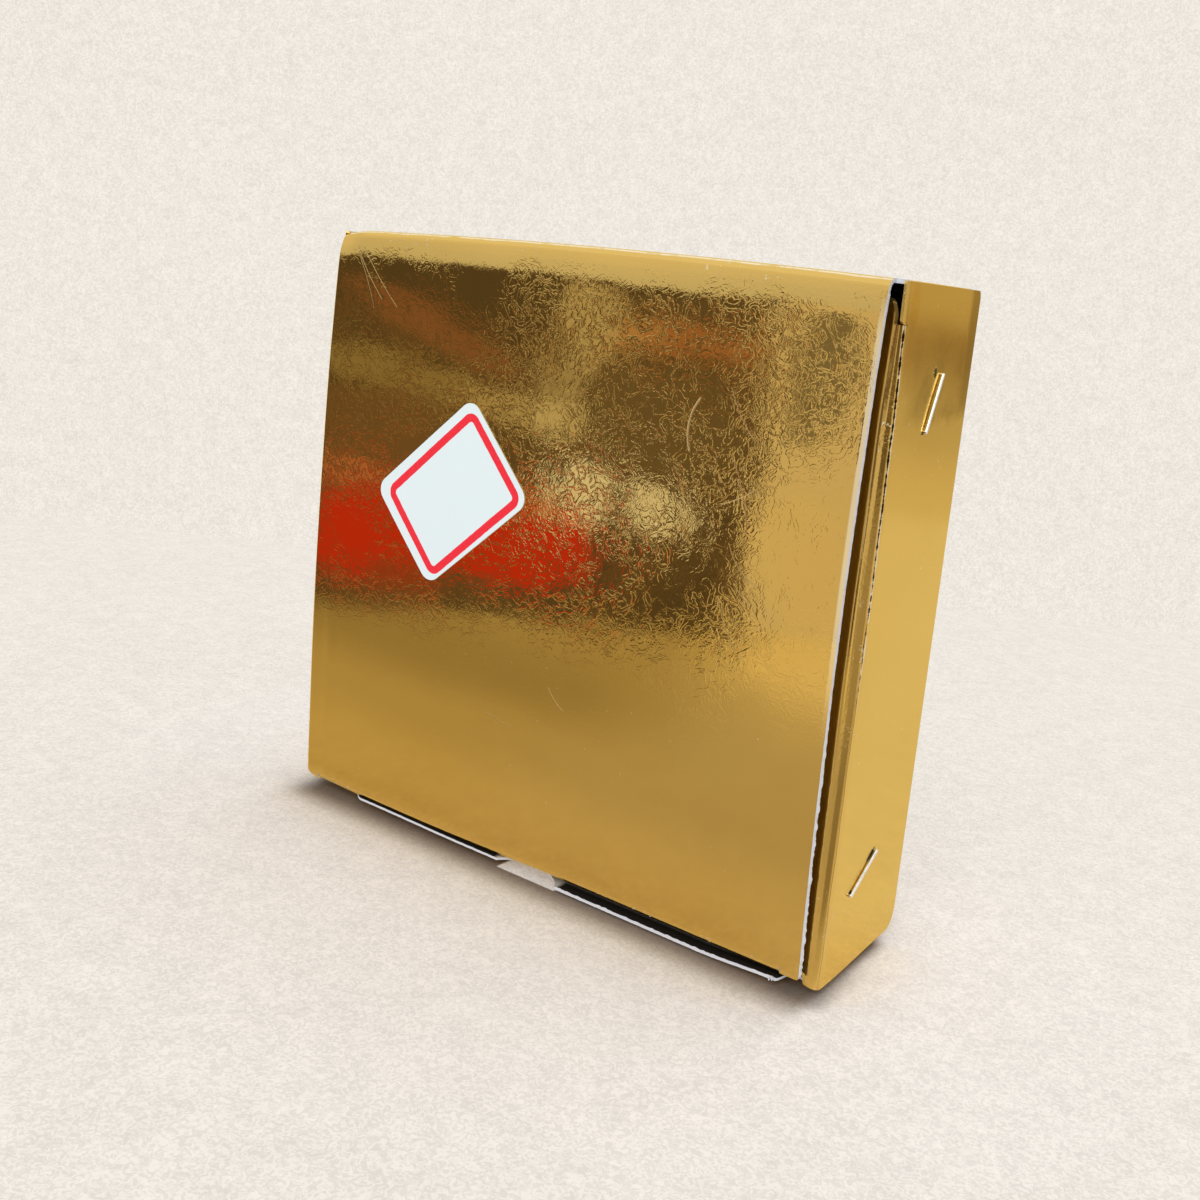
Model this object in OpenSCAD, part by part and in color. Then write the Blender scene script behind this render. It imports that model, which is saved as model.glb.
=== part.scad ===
// Folding sweet box of gold foil board, closed and standing on its long edge.
// X runs along the width, the lid faces -Y, the lid is hinged at the top (+Z)
// and its tuck flap goes in at the bottom. The tray's base is the back panel at +Y.

/* [Tray] */
// Outer width of the tray
body_w = 105.4; // [80:0.2:150]
// Outer height as it stands, which is the tray's front-to-back size in use
body_h = 99.5; // [80:0.5:150]
// Outer depth, from the label's face to the back panel's face
body_d = 27; // [22:0.5:50]
// Thickness of the board
board_t = 0.6; // [0.4:0.05:0.8]
// Outer radius of the folds round the back panel
fold_r = 1.2; // [1:0.1:2]
// Outer radius of the tight folds at the corner tabs
tab_fold_r = 0.7; // [0.7:0.1:1]
// Length of the corner tabs inside the side walls
tab_len = 26; // [20:0.5:34]
// How far the corner tabs stay back from the tray's front and back folds
tab_inset = 1.6; // [1:0.1:4]
// How far the side walls' cut ends stop short of the box's bottom at the front
side_lift_front = 0.3; // [0.2:0.1:1]
// The same at the back
side_lift_back = 1.3; // [0.2:0.1:2]
// Width of the thumb notch in the bottom wall
notch_w = 12.2; // [8:0.2:20]
// Depth of the thumb notch
notch_d = 3.4; // [2:0.2:5]

/* [Lid] */
// How much narrower the lid is than the tray
lid_narrower = 3.1; // [2:0.1:6]
// How far the lid sits to the right of the tray's middle, as folded
lid_shift = -1.15; // [-1.2:0.05:1.2]
// Outer radius of the lid's hinge crease
hinge_r = 1.2; // [1:0.1:1.6]
// Free height between the tray's bottom wall and the lid's lower fold
lid_gap = 0.3; // [0.3:0.05:1]
// Radius of the lid's lower left corner
lid_corner_left = 1.5; // [0.3:0.1:2.5]
// Radius of the lid's lower right corner, which is cut almost square
lid_corner_right = 0.4; // [0.3:0.1:2.5]
// Play left round the lid's hinge when it lies fully open
hinge_play = 0.1; // [0.1:0.05:0.4]

/* [Tuck flap] */
// Length of the tuck flap from its crease
tuck_len = 15; // [10:0.5:18]
// How far the tuck flap is set in from each end of the lid
tuck_inset = 3.2; // [3:0.1:8]
// Upward lean of the tuck flap, which springs off the bottom wall
tuck_lean = 9; // [8:0.5:14]
// Radius of the tuck flap's free corners
tuck_corner_r = 8; // [3:0.5:9]
// Outer radius of the tuck flap's crease
tuck_r = 1.2; // [1:0.1:1.6]

/* [Dust flaps] */
// Length of each dust flap from its crease
dust_len = 40; // [25:0.5:46]
// Free space between the lid's inner face and the dust flaps
dust_gap = 0.5; // [0.4:0.05:1]
// How far the dust flap's shoulder starts below the top
shoulder_drop = 5.8; // [4:0.1:8]
// How far the dust flap's highest point lies below the top
peak_drop = 2.4; // [2.3:0.1:4]
// Fall of the dust flap's upper edge for each millimetre along it
taper = 0.52; // [0.5:0.01:0.7]
// Height of the dust flap's lower edge, clear of the tuck flap
dust_rise = 3.5; // [3.3:0.1:6]
// Radius of the dust flap's free corners
dust_corner_r = 5; // [2:0.5:8]

/* [Staples] */
// Wire diameter
wire_d = 0.5; // [0.4:0.05:0.6]
// Outer length of the crown
crown_len = 9.1; // [8:0.1:10]
// Length of each clinched leg inside the box
clinch_len = 3.2; // [2:0.1:3.6]
// Height of the upper staples' middle, measured down from the top
upper_drop = 16.1; // [12:0.1:20]
// Height of the lower staples' middle above the bottom
lower_rise = 14.9; // [12:0.1:20]
// Tilt of each staple from upright: upper right, lower right, upper left, lower left
staple_tilts = [23, 57, -14, 38]; // [-60:1:60]
// Place of each staple's middle along the depth, in the same order
staple_ys = [0, -2.3, 1.4, -0.6]; // [-3:0.1:3]

/* [Price label] */
// Length of the label
label_w = 26.2; // [20:0.2:40]
// Width of the label
label_h = 19.6; // [12:0.2:30]
// Thickness of the label
label_t = 0.1; // [0.08:0.01:0.15]
// Radius of the label's corners
label_r = 2.3; // [1:0.1:5]
// Turn of the label on the lid
label_turn = 42; // [0:1:90]
// Label's middle, from the lid's left edge
label_x = 30.4; // [25:0.1:60]
// Label's middle, above the box's bottom
label_z = 58.4; // [30:0.1:70]

/* [Hidden] */
$fn = 48;

foil = "goldenrod";
foil_shade = "darkgoldenrod";

// Faces of the box, worked out from the driving sizes
half_w = body_w / 2;
wall_in_x = half_w - board_t;
back_y = body_d / 2;
lid_y = -body_d / 2 + label_t;
lid_in_y = lid_y + board_t;
flap_y = lid_in_y + dust_gap;
// Outer end of the top and bottom walls, where the corner tabs fold
wall_end_x = wall_in_x - tab_fold_r;
// Tangent lines of the folds
back_tangent_y = back_y - fold_r;
side_front_y = flap_y + fold_r;
hinge_y = lid_y + hinge_r;
hinge_z = body_h - hinge_r;
// Bottom wall's cut front edge lies just behind the lid's face
edge_setback = 0.2;
bottom_front_y = lid_y + edge_setback;
// Its front corners are cut away to let the dust flaps' feet pass
corner_cut_x = 3.2;
corner_cut_y = 3.4;

lid_w = body_w - lid_narrower;
lid_x0 = lid_shift - lid_w / 2;
lid_x1 = lid_shift + lid_w / 2;
lid_top_z = body_h - 2 * hinge_r - hinge_play;
lid_low_z = board_t + lid_gap;
// Slit between the lid's lower corners and the ends of the tuck flap's crease
tuck_slit = 0.2;
// How far those corners stop short of the crease's underside
corner_short = 0.4;
corner_z = lid_low_z + corner_short;

tuck_axis_y = lid_y + tuck_r;
tuck_axis_z = lid_low_z + tuck_r;
tuck_x0 = lid_x0 + tuck_inset;
tuck_x1 = lid_x1 - tuck_inset;

flap_root_x = half_w - fold_r;
shoulder_run = 1.8;
foot_run = 1.3;
foot_slope = 0.8;

// Side wall's cut upper front corner, which reaches forward to the fold line
ear_run = 0.9;
ear_play = 0.3;
wall_top_gap = 0.1;

hole_play = 0.02;
leg_reach = (crown_len - wire_d) / 2;

// Points of an arc, in order, about a centre
function arc(cx, cy, r, a0, a1, n = 8) =
    [for (i = [0:n]) let (a = a0 + (a1 - a0) * i / n) [cx + r * cos(a), cy + r * sin(a)]];

// Plates standing in the three planes, from an outline and the lower face's place
module plate_xy(outline, z0) { translate([0, 0, z0]) linear_extrude(board_t) polygon(outline); }
module plate_xz(outline, y0) {
    translate([0, y0 + board_t, 0]) rotate([90, 0, 0]) linear_extrude(board_t) polygon(outline);
}
module plate_yz(outline, x0) {
    translate([x0, 0, 0]) rotate([90, 0, 90]) linear_extrude(board_t) polygon(outline);
}

// Bent strip of board: part of a ring about +Z, between two angles
module bend(r_out, a0, a1, length) {
    rotate([0, 0, a0]) rotate_extrude(angle = a1 - a0)
        translate([r_out - board_t, 0]) square([board_t, length]);
}

// The same about +X, with angles measured from +Y towards +Z
module bend_x(cy, cz, r_out, a0, a1, x0, x1) {
    translate([x0, cy, cz]) rotate([90, 0, 90]) bend(r_out, a0, a1, x1 - x0);
}

// The same about +Z, standing between two heights
module bend_z(cx, cy, r_out, a0, a1, z0, z1) {
    translate([cx, cy, z0]) bend(r_out, a0, a1, z1 - z0);
}

// Tray's base, the panel that lies on the table in use
module back_panel() {
    color(foil)
    plate_xz([
        [-half_w + fold_r, fold_r], [half_w - fold_r, fold_r],
        [half_w - fold_r, body_h - fold_r], [-half_w + fold_r, body_h - fold_r]
    ], back_y - board_t);
}

// Wall that carries the lid's hinge, with its fold to the back panel
module top_wall() {
    color(foil) {
        plate_xy([
            [-wall_end_x, hinge_y], [wall_end_x, hinge_y],
            [wall_end_x, back_tangent_y], [-wall_end_x, back_tangent_y]
        ], body_h - board_t);
        bend_x(back_tangent_y, body_h - fold_r, fold_r, 0, 90, -wall_end_x, wall_end_x);
    }
}

// Wall that the box stands on: its front edge is cut, with a thumb notch at its middle
module bottom_wall() {
    notch_r = (pow(notch_w / 2, 2) + pow(notch_d, 2)) / (2 * notch_d);
    notch_cy = bottom_front_y + notch_d - notch_r;
    notch_a = asin(notch_w / 2 / notch_r);
    color(foil) {
        plate_xy(concat(
            [[-wall_end_x, bottom_front_y + corner_cut_y],
             [-wall_end_x + corner_cut_x, bottom_front_y]],
            arc(0, notch_cy, notch_r, 90 + notch_a, 90 - notch_a, 16),
            [[wall_end_x - corner_cut_x, bottom_front_y],
             [wall_end_x, bottom_front_y + corner_cut_y],
             [wall_end_x, back_tangent_y], [-wall_end_x, back_tangent_y]]
        ), 0);
        bend_x(back_tangent_y, fold_r, fold_r, 270, 360, -wall_end_x, wall_end_x);
    }
}

// Right wall; the left one is its mirror image with its own staple holes
module side_wall(tilts, ys) {
    back_corner_r = 2.6;
    wall_top = body_h - wall_top_gap;
    difference() {
        union() {
            plate_yz(concat(
                [[side_front_y, side_lift_front]],
                arc(back_tangent_y - back_corner_r, side_lift_back + back_corner_r,
                    back_corner_r, 270, 360),
                [[back_tangent_y, wall_top], [side_front_y - ear_run, wall_top]],
                arc(side_front_y - shoulder_run, body_h - shoulder_drop + ear_play, shoulder_run,
                    acos(1 - ear_run / shoulder_run), 0)
            ), wall_in_x);
            bend_z(half_w - fold_r, back_tangent_y, fold_r, 0, 90,
                   side_lift_back + back_corner_r, body_h - fold_r);
        }
        leg_holes(tilts, ys);
    }
}

module right_wall() {
    color(foil) side_wall([staple_tilts[0], staple_tilts[1]], [staple_ys[0], staple_ys[1]]);
}
module left_wall() {
    color(foil) mirror([1, 0, 0])
        side_wall([staple_tilts[2], staple_tilts[3]], [staple_ys[2], staple_ys[3]]);
}

// Corner tab at the bottom right: the bottom wall's end, folded up inside the side wall
module corner_tab_low(tilts, ys) {
    y0 = bottom_front_y + corner_cut_y;
    y1 = back_tangent_y - tab_inset;
    slope = 3;
    tip_r = 2;
    difference() {
        union() {
            plate_yz(concat(
                [[y0, tab_fold_r], [y1, tab_fold_r]],
                arc(y1 - slope - tip_r, tab_len - tip_r, tip_r, 15, 90),
                arc(y0 + slope + tip_r, tab_len - tip_r, tip_r, 90, 165)
            ), wall_in_x - board_t);
            translate([wall_end_x, y1, tab_fold_r]) rotate([90, 0, 0])
                bend(tab_fold_r, 270, 360, y1 - y0);
        }
        leg_holes(tilts, ys);
    }
}

// Corner tab at the top right: the top wall's end, folded down
module corner_tab_high(tilts, ys) {
    y0 = hinge_y + tab_inset;
    y1 = back_tangent_y - tab_inset;
    slope = 3;
    tip_r = 2;
    difference() {
        union() {
            plate_yz(concat(
                [[y1, body_h - tab_fold_r], [y0, body_h - tab_fold_r]],
                arc(y0 + slope + tip_r, body_h - tab_len + tip_r, tip_r, 195, 270),
                arc(y1 - slope - tip_r, body_h - tab_len + tip_r, tip_r, 270, 345)
            ), wall_in_x - board_t);
            translate([wall_end_x, y1, body_h - tab_fold_r]) rotate([90, 0, 0])
                bend(tab_fold_r, 0, 90, y1 - y0);
        }
        leg_holes(tilts, ys);
    }
}

module corner_tab_bottom_right() {
    color(foil_shade) corner_tab_low([staple_tilts[0], staple_tilts[1]], [staple_ys[0], staple_ys[1]]);
}
module corner_tab_bottom_left() {
    color(foil_shade) mirror([1, 0, 0])
        corner_tab_low([staple_tilts[2], staple_tilts[3]], [staple_ys[2], staple_ys[3]]);
}
module corner_tab_top_right() {
    color(foil_shade) corner_tab_high([staple_tilts[0], staple_tilts[1]], [staple_ys[0], staple_ys[1]]);
}
module corner_tab_top_left() {
    color(foil_shade) mirror([1, 0, 0])
        corner_tab_high([staple_tilts[2], staple_tilts[3]], [staple_ys[2], staple_ys[3]]);
}

// Hinge of the lid: the rounded fold and the short flat lands that bend with it
module lid_crease() {
    color(foil_shade) {
        bend_x(hinge_y, hinge_z, hinge_r, 90, 180, lid_x0, lid_x1);
        plate_xz([
            [lid_x0, lid_top_z], [lid_x1, lid_top_z],
            [lid_x1, hinge_z], [lid_x0, hinge_z]
        ], lid_y);
    }
}

// Lid: the front panel, whose lower corners reach down beside the tuck flap's crease
module lid_panel() {
    slit_x0 = tuck_x0 - tuck_slit;
    slit_x1 = tuck_x1 + tuck_slit;
    color(foil)
    plate_xz(concat(
        arc(lid_x0 + lid_corner_left, corner_z + lid_corner_left, lid_corner_left, 180, 270),
        [[slit_x0, corner_z], [slit_x0, tuck_axis_z], [slit_x1, tuck_axis_z], [slit_x1, corner_z]],
        arc(lid_x1 - lid_corner_right, corner_z + lid_corner_right, lid_corner_right, 270, 360),
        [[lid_x1, lid_top_z], [lid_x0, lid_top_z]]
    ), lid_y);
}

// Fold between the lid and the tuck flap
module tuck_crease() {
    color(foil_shade)
    bend_x(tuck_axis_y, tuck_axis_z, tuck_r, 180, 270 + tuck_lean, tuck_x0, tuck_x1);
}

// Tuck flap, inside the bottom wall, leaning up a little
module tuck_flap() {
    color(foil)
    translate([0, tuck_axis_y, tuck_axis_z]) rotate([tuck_lean, 0, 0])
    plate_xy(concat(
        [[tuck_x0, 0], [tuck_x1, 0]],
        arc(tuck_x1 - tuck_corner_r, tuck_len - tuck_corner_r, tuck_corner_r, 0, 90),
        arc(tuck_x0 + tuck_corner_r, tuck_len - tuck_corner_r, tuck_corner_r, 90, 180)
    ), -tuck_r);
}

// Right dust flap's crease; its foot reaches down past the lid's lower fold
module dust_crease() {
    bend_z(flap_root_x, side_front_y, fold_r, 270, 360, side_lift_front, body_h - shoulder_drop);
}

// Right dust flap: shoulder and taper at the hinge side, foot and relief at the tuck side
module dust_flap() {
    peak_z = body_h - peak_drop;
    end_x = flap_root_x - dust_len;
    end_z = peak_z - taper * (dust_len - shoulder_run);
    fall = atan(taper);
    foot_z = side_lift_front;
    // Rounding of the upper free corner, tangent to the tapered edge and the free end
    upper_r = dust_corner_r;
    bend_run = upper_r * tan((90 - fall) / 2);
    plate_xz(concat(
        [[flap_root_x, foot_z], [flap_root_x, body_h - shoulder_drop]],
        arc(flap_root_x - shoulder_run, body_h - shoulder_drop, shoulder_run, 0, 60, 6),
        [[flap_root_x - shoulder_run, peak_z]],
        arc(end_x + upper_r, end_z + taper * upper_r - upper_r / cos(fall), upper_r, 90 + fall, 180),
        arc(end_x + dust_corner_r, dust_rise + dust_corner_r, dust_corner_r, 180, 270),
        [[flap_root_x - foot_run - foot_slope, dust_rise], [flap_root_x - foot_run, foot_z]]
    ), flap_y);
}

module right_dust_crease() { color(foil_shade) dust_crease(); }
module left_dust_crease() { color(foil_shade) mirror([1, 0, 0]) dust_crease(); }
module right_dust_flap() { color(foil) dust_flap(); }
module left_dust_flap() { color(foil) mirror([1, 0, 0]) dust_flap(); }

// Place of a staple's middle on the right wall's outer face: 0 is the upper one, 1 the lower
function staple_z(i) = i == 0 ? body_h - upper_drop : lower_rise;

// Frame of a staple: local Z along its crown, local X out of the wall
module at_staple(i, tilt, y) {
    translate([half_w, y, staple_z(i)]) rotate([-tilt, 0, 0]) children();
}

// Holes that the legs of one wall's two staples pass through
module leg_holes(tilts, ys) {
    for (i = [0, 1], end = [-1, 1])
        at_staple(i, tilts[i], ys[i])
            translate([-2 * board_t - 1, 0, end * leg_reach]) rotate([0, 90, 0])
                cylinder(d = wire_d + 2 * hole_play, h = 2 * board_t + 2);
}

// Wire staple: crown outside, two legs through wall and tab, clinched towards each other
module staple(i, tilt, y) {
    crown_x = wire_d / 2 + hole_play;
    clinch_x = -2 * board_t - wire_d / 2 - hole_play;
    color("silver")
    at_staple(i, tilt, y) {
        translate([crown_x, 0, -leg_reach]) cylinder(d = wire_d, h = 2 * leg_reach);
        for (end = [-1, 1]) {
            translate([clinch_x, 0, end * leg_reach]) rotate([0, 90, 0])
                cylinder(d = wire_d, h = crown_x - clinch_x);
            translate([crown_x, 0, end * leg_reach]) sphere(d = wire_d);
            translate([clinch_x, 0, end * leg_reach]) sphere(d = wire_d);
            translate([clinch_x, 0, end * leg_reach]) rotate([end > 0 ? 180 : 0, 0, 0])
                cylinder(d = wire_d, h = clinch_len);
        }
    }
}

module staple_upper_right() { staple(0, staple_tilts[0], staple_ys[0]); }
module staple_lower_right() { staple(1, staple_tilts[1], staple_ys[1]); }
module staple_upper_left() { mirror([1, 0, 0]) staple(0, staple_tilts[2], staple_ys[2]); }
module staple_lower_left() { mirror([1, 0, 0]) staple(1, staple_tilts[3], staple_ys[3]); }

// Paper label stuck on the lid, with rounded corners
module price_label() {
    color("white")
    translate([lid_x0 + label_x, lid_y, label_z]) rotate([90, -label_turn, 0])
    linear_extrude(label_t) {
        square([label_w - 2 * label_r, label_h], center = true);
        square([label_w, label_h - 2 * label_r], center = true);
        for (sx = [-1, 1], sy = [-1, 1])
            translate([sx * (label_w / 2 - label_r), sy * (label_h / 2 - label_r)]) circle(label_r);
    }
}

back_panel();
top_wall();
bottom_wall();
left_wall();
right_wall();
corner_tab_top_left();
corner_tab_top_right();
corner_tab_bottom_left();
corner_tab_bottom_right();
lid_crease();
lid_panel();
tuck_crease();
tuck_flap();
left_dust_crease();
left_dust_flap();
right_dust_crease();
right_dust_flap();
staple_upper_left();
staple_lower_left();
staple_upper_right();
staple_lower_right();
price_label();
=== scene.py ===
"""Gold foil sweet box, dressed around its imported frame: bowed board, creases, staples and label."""
import logging
import math
from dataclasses import dataclass, field
from enum import Enum
from typing import Callable, Iterable, Optional, Sequence, Union

import bmesh
import bpy
from mathutils import Matrix, Vector, noise


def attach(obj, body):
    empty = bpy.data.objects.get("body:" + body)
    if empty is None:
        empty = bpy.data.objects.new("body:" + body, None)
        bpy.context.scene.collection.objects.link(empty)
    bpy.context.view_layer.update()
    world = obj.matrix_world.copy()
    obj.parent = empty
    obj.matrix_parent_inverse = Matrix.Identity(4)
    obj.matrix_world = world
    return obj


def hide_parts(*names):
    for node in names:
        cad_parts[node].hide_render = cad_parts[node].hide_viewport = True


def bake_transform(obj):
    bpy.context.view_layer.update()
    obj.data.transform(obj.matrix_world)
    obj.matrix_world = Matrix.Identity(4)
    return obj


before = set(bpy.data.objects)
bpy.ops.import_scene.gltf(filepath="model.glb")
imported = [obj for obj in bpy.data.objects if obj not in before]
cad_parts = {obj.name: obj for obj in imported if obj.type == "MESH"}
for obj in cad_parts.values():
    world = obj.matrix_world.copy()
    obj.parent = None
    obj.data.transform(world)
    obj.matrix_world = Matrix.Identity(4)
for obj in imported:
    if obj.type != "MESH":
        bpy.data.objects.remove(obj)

LOG = logging.getLogger("sweet_box")
MM = 0.001
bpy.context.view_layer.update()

Colour = tuple[float, float, float]
Fold = Callable[[float, float], Vector]
Profile = Callable[[float], float]


def smooth(low: float, high: float, value: float) -> float:
    """Soft step from 0 below low to 1 above high; low may be the larger one."""
    t = min(max((value - low) / (high - low), 0.0), 1.0)
    return t * t * (3 - 2 * t)


def hump(low: float, high: float, value: float) -> float:
    """Parabola that is 0 at and beyond both ends and 1 in the middle."""
    t = min(max((value - low) / (high - low), 0.0), 1.0)
    return 4 * t * (1 - t)


def bell(value: float, centre: float, width: float) -> float:
    """Bell curve of height 1 about centre."""
    return math.exp(-((value - centre) / width) ** 2)


def ripple(x: float, y: float, wave: float, seed: float) -> float:
    """Smooth random value between about -1 and 1 that changes over wave millimetres."""
    return noise.noise(Vector((x / wave, y / wave, seed)))


def steps(low: float, high: float, pitch: float, fine: Sequence[float] = ()) -> list[float]:
    """Even stations from low to high, with extra ones where the outline turns.

    Args:
        low: First station.
        high: Last station.
        pitch: Largest gap between stations.
        fine: Further stations, kept where they lie between the ends.

    Returns:
        The stations in rising order, none closer than a twentieth of a millimetre.
    """
    count = max(1, math.ceil((high - low) / pitch))
    all_stations = sorted([low + (high - low) * i / count for i in range(count + 1)]
                          + [f for f in fine if low < f < high])
    kept = [all_stations[0]]
    for station in all_stations[1:-1]:
        if station - kept[-1] > 0.05 and high - station > 0.05:
            kept.append(station)
    return kept + [high]


def corner_stations(edge: float, radius: float, inward: float) -> list[float]:
    """Stations over a rounded corner whose end lies at edge; inward is +1 or -1."""
    return [edge + inward * radius * (1 - math.cos(math.radians(a))) for a in (12, 24, 36, 48, 60, 72, 84)]


def corner_rise(distance: float, radius: float) -> float:
    """How far a rounded corner's outline lies from the straight edge, at a distance from its end."""
    if distance >= radius:
        return 0.0
    return radius - math.sqrt(max(radius * radius - (radius - distance) ** 2, 0.0))


class Wire:
    """A shader socket that takes part in plain arithmetic."""

    def __init__(self, bench: "Bench", socket: bpy.types.NodeSocket) -> None:
        """Wraps one output socket of a bench's tree."""
        self.bench = bench
        self.socket = socket

    def _math(self, operation: str, *terms: Union["Wire", float]) -> "Wire":
        """Adds one Math node over the given terms."""
        node = self.bench.add("ShaderNodeMath", {"operation": operation}, dict(enumerate(terms)))
        return Wire(self.bench, node.outputs[0])

    def __add__(self, other: Union["Wire", float]) -> "Wire":
        """Sum."""
        return self._math("ADD", self, other)

    __radd__ = __add__

    def __sub__(self, other: Union["Wire", float]) -> "Wire":
        """Difference."""
        return self._math("SUBTRACT", self, other)

    def __rsub__(self, other: float) -> "Wire":
        """Difference from a number."""
        return self._math("SUBTRACT", other, self)

    def __mul__(self, other: Union["Wire", float]) -> "Wire":
        """Product."""
        return self._math("MULTIPLY", self, other)

    __rmul__ = __mul__

    def __truediv__(self, other: Union["Wire", float]) -> "Wire":
        """Quotient."""
        return self._math("DIVIDE", self, other)

    def __abs__(self) -> "Wire":
        """Size without its sign."""
        return self._math("ABSOLUTE", self)

    def __pow__(self, power: float) -> "Wire":
        """Power."""
        return self._math("POWER", self, power)

    def larger(self, other: Union["Wire", float]) -> "Wire":
        """The larger of two values."""
        return self._math("MAXIMUM", self, other)

    def smaller(self, other: Union["Wire", float]) -> "Wire":
        """The smaller of two values."""
        return self._math("MINIMUM", self, other)

    def bearing(self, north: "Wire") -> "Wire":
        """Direction in degrees of the point that lies self along X and north along Y."""
        return self._math("ARCTAN2", north, self) * math.degrees(1.0)

    def step(self, low: float, high: float) -> "Wire":
        """Soft step from 0 at low to 1 at high; low may be the larger one."""
        rising = low < high
        node = self.bench.add(
            "ShaderNodeMapRange", {"interpolation_type": "SMOOTHSTEP"},
            {"Value": self, "From Min": min(low, high), "From Max": max(low, high),
             "To Min": 0.0 if rising else 1.0, "To Max": 1.0 if rising else 0.0})
        return Wire(self.bench, node.outputs["Result"])


Value = Union[Wire, float]
Paint = Union[Wire, Colour]


class Bench:
    """Lays out the nodes of one material or of the world."""

    def __init__(self, tree: bpy.types.NodeTree) -> None:
        """Starts from an empty tree."""
        self.tree = tree
        tree.nodes.clear()

    def add(self, kind: str, settings: Optional[dict] = None, sockets: Optional[dict] = None) -> bpy.types.Node:
        """Adds any node.

        Args:
            kind: Blender's type name of the node.
            settings: Properties that are set before its sockets.
            sockets: Values or wires by socket name or number.

        Returns:
            The new node.
        """
        node = self.tree.nodes.new(kind)
        for name, setting in (settings or {}).items():
            setattr(node, name, setting)
        for name, value in (sockets or {}).items():
            socket = node.inputs[name]
            if isinstance(value, Wire):
                self.tree.links.new(value.socket, socket)
            elif isinstance(value, tuple) and len(value) == 3 and socket.type == "RGBA":
                socket.default_value = (*value, 1.0)
            else:
                socket.default_value = value
        return node

    def wire(self, node: bpy.types.Node, name: Union[str, int] = 0) -> Wire:
        """One output of a node."""
        return Wire(self, node.outputs[name])

    def place(self, scale: float = 1000.0, centre: Colour = (0, 0, 0), turn: Colour = (0, 0, 0)) -> Wire:
        """Object coordinates in millimetres, centred and turned on the piece.

        Args:
            scale: Millimetres in a metre, unless a pattern is stretched elsewhere.
            centre: The pattern's centre in metres.
            turn: Turn of the pattern in radians, after centring.

        Returns:
            The coordinates.
        """
        coordinates = self.wire(self.add("ShaderNodeTexCoord"), "Object")
        shifted = self.add("ShaderNodeVectorMath", {"operation": "SUBTRACT"}, {0: coordinates, 1: centre})
        mapping = self.add("ShaderNodeMapping", None,
                           {"Vector": self.wire(shifted), "Scale": (scale,) * 3, "Rotation": turn})
        return self.wire(mapping)

    def flat(self) -> tuple[Wire, Wire]:
        """Place on the flat sheet in millimetres: along its stations and across them."""
        uv = self.wire(self.add("ShaderNodeUVMap", {"uv_map": "flat"}))
        along, across, _ = self.split(self.stretch(uv, (1000.0, 1000.0, 1.0)))
        return along, across

    def stretch(self, vector: Wire, factors: Colour) -> Wire:
        """A vector with each part multiplied."""
        return self.wire(self.add("ShaderNodeVectorMath", {"operation": "MULTIPLY"}, {0: vector, 1: factors}))

    def split(self, vector: Wire) -> tuple[Wire, Wire, Wire]:
        """The three parts of a vector."""
        node = self.add("ShaderNodeSeparateXYZ", None, {0: vector})
        return self.wire(node, 0), self.wire(node, 1), self.wire(node, 2)

    def grain(self, vector: Wire, wave: float, detail: float = 2.0, rough: float = 0.5, swirl: float = 0.0) -> Wire:
        """Random values about 0.5 that change over wave millimetres.

        Args:
            vector: Coordinates in millimetres.
            wave: Size of the largest features.
            detail: Number of finer layers.
            rough: Weight of the finer layers.
            swirl: Distortion of the pattern.

        Returns:
            The values.
        """
        node = self.add("ShaderNodeTexNoise", None, {
            "Vector": vector, "Scale": 1 / wave, "Detail": detail, "Roughness": rough, "Distortion": swirl})
        return self.wire(node, 0)

    def mix(self, share: Value, first: Paint, second: Paint) -> Wire:
        """Colour between first, at 0, and second, at 1."""
        node = self.add("ShaderNodeMix", {"data_type": "RGBA"}, {0: share, 6: first, 7: second})
        return self.wire(node, 2)

    def bump(self, height_mm: Value, strength: float = 1.0) -> Wire:
        """Normal bent by a height in millimetres."""
        return self.wire(self.add("ShaderNodeBump", None, {
            "Strength": strength, "Distance": MM, "Height": height_mm}))

    def surface(self, **sockets: Union[Wire, float, Colour]) -> None:
        """Ends the material in one shader; socket names are written with underscores."""
        named = {name.replace("_", " "): value for name, value in sockets.items()}
        shader = self.add("ShaderNodeBsdfPrincipled", None, named)
        self.add("ShaderNodeOutputMaterial", None, {"Surface": self.wire(shader)})


def new_material(name: str) -> tuple[bpy.types.Material, Bench]:
    """A fresh material and the bench for its nodes."""
    material = bpy.data.materials.new(name)
    material.use_nodes = True
    return material, Bench(material.node_tree)


@dataclass(frozen=True)
class Scratch:
    """A fine scratch on the lid: its ends, in millimetres, and its sideways bend."""

    start: tuple[float, float]
    end: tuple[float, float]
    bend: float = 0.0
    width: float = 0.12

    def depth(self, bench: Bench, across: Wire, up: Wire) -> Wire:
        """1 on the scratch and 0 away from it.

        Args:
            bench: The material's bench.
            across: Position across the lid in millimetres.
            up: Position up the lid in millimetres.

        Returns:
            The mask.
        """
        dx, dz = self.end[0] - self.start[0], self.end[1] - self.start[1]
        length = math.hypot(dx, dz)
        tx, tz = dx / length, dz / length
        along = (across - self.start[0]) * tx + (up - self.start[1]) * tz
        side = (across - self.start[0]) * tz - (up - self.start[1]) * tx
        share = along * (1 / length)
        arc = share * (1 - share) * (4 * self.bend)
        on_line = abs(side - arc).step(self.width, 0.0)
        inside = share.step(-0.05, 0.05) * share.step(1.05, 0.95)
        return on_line * inside


class Foil(Enum):
    """How the foil of one panel is worn."""

    LID = "lid"
    WALL = "wall"
    CREASE = "crease"
    CRACKED = "cracked_crease"
    HIDDEN = "hidden"


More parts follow.
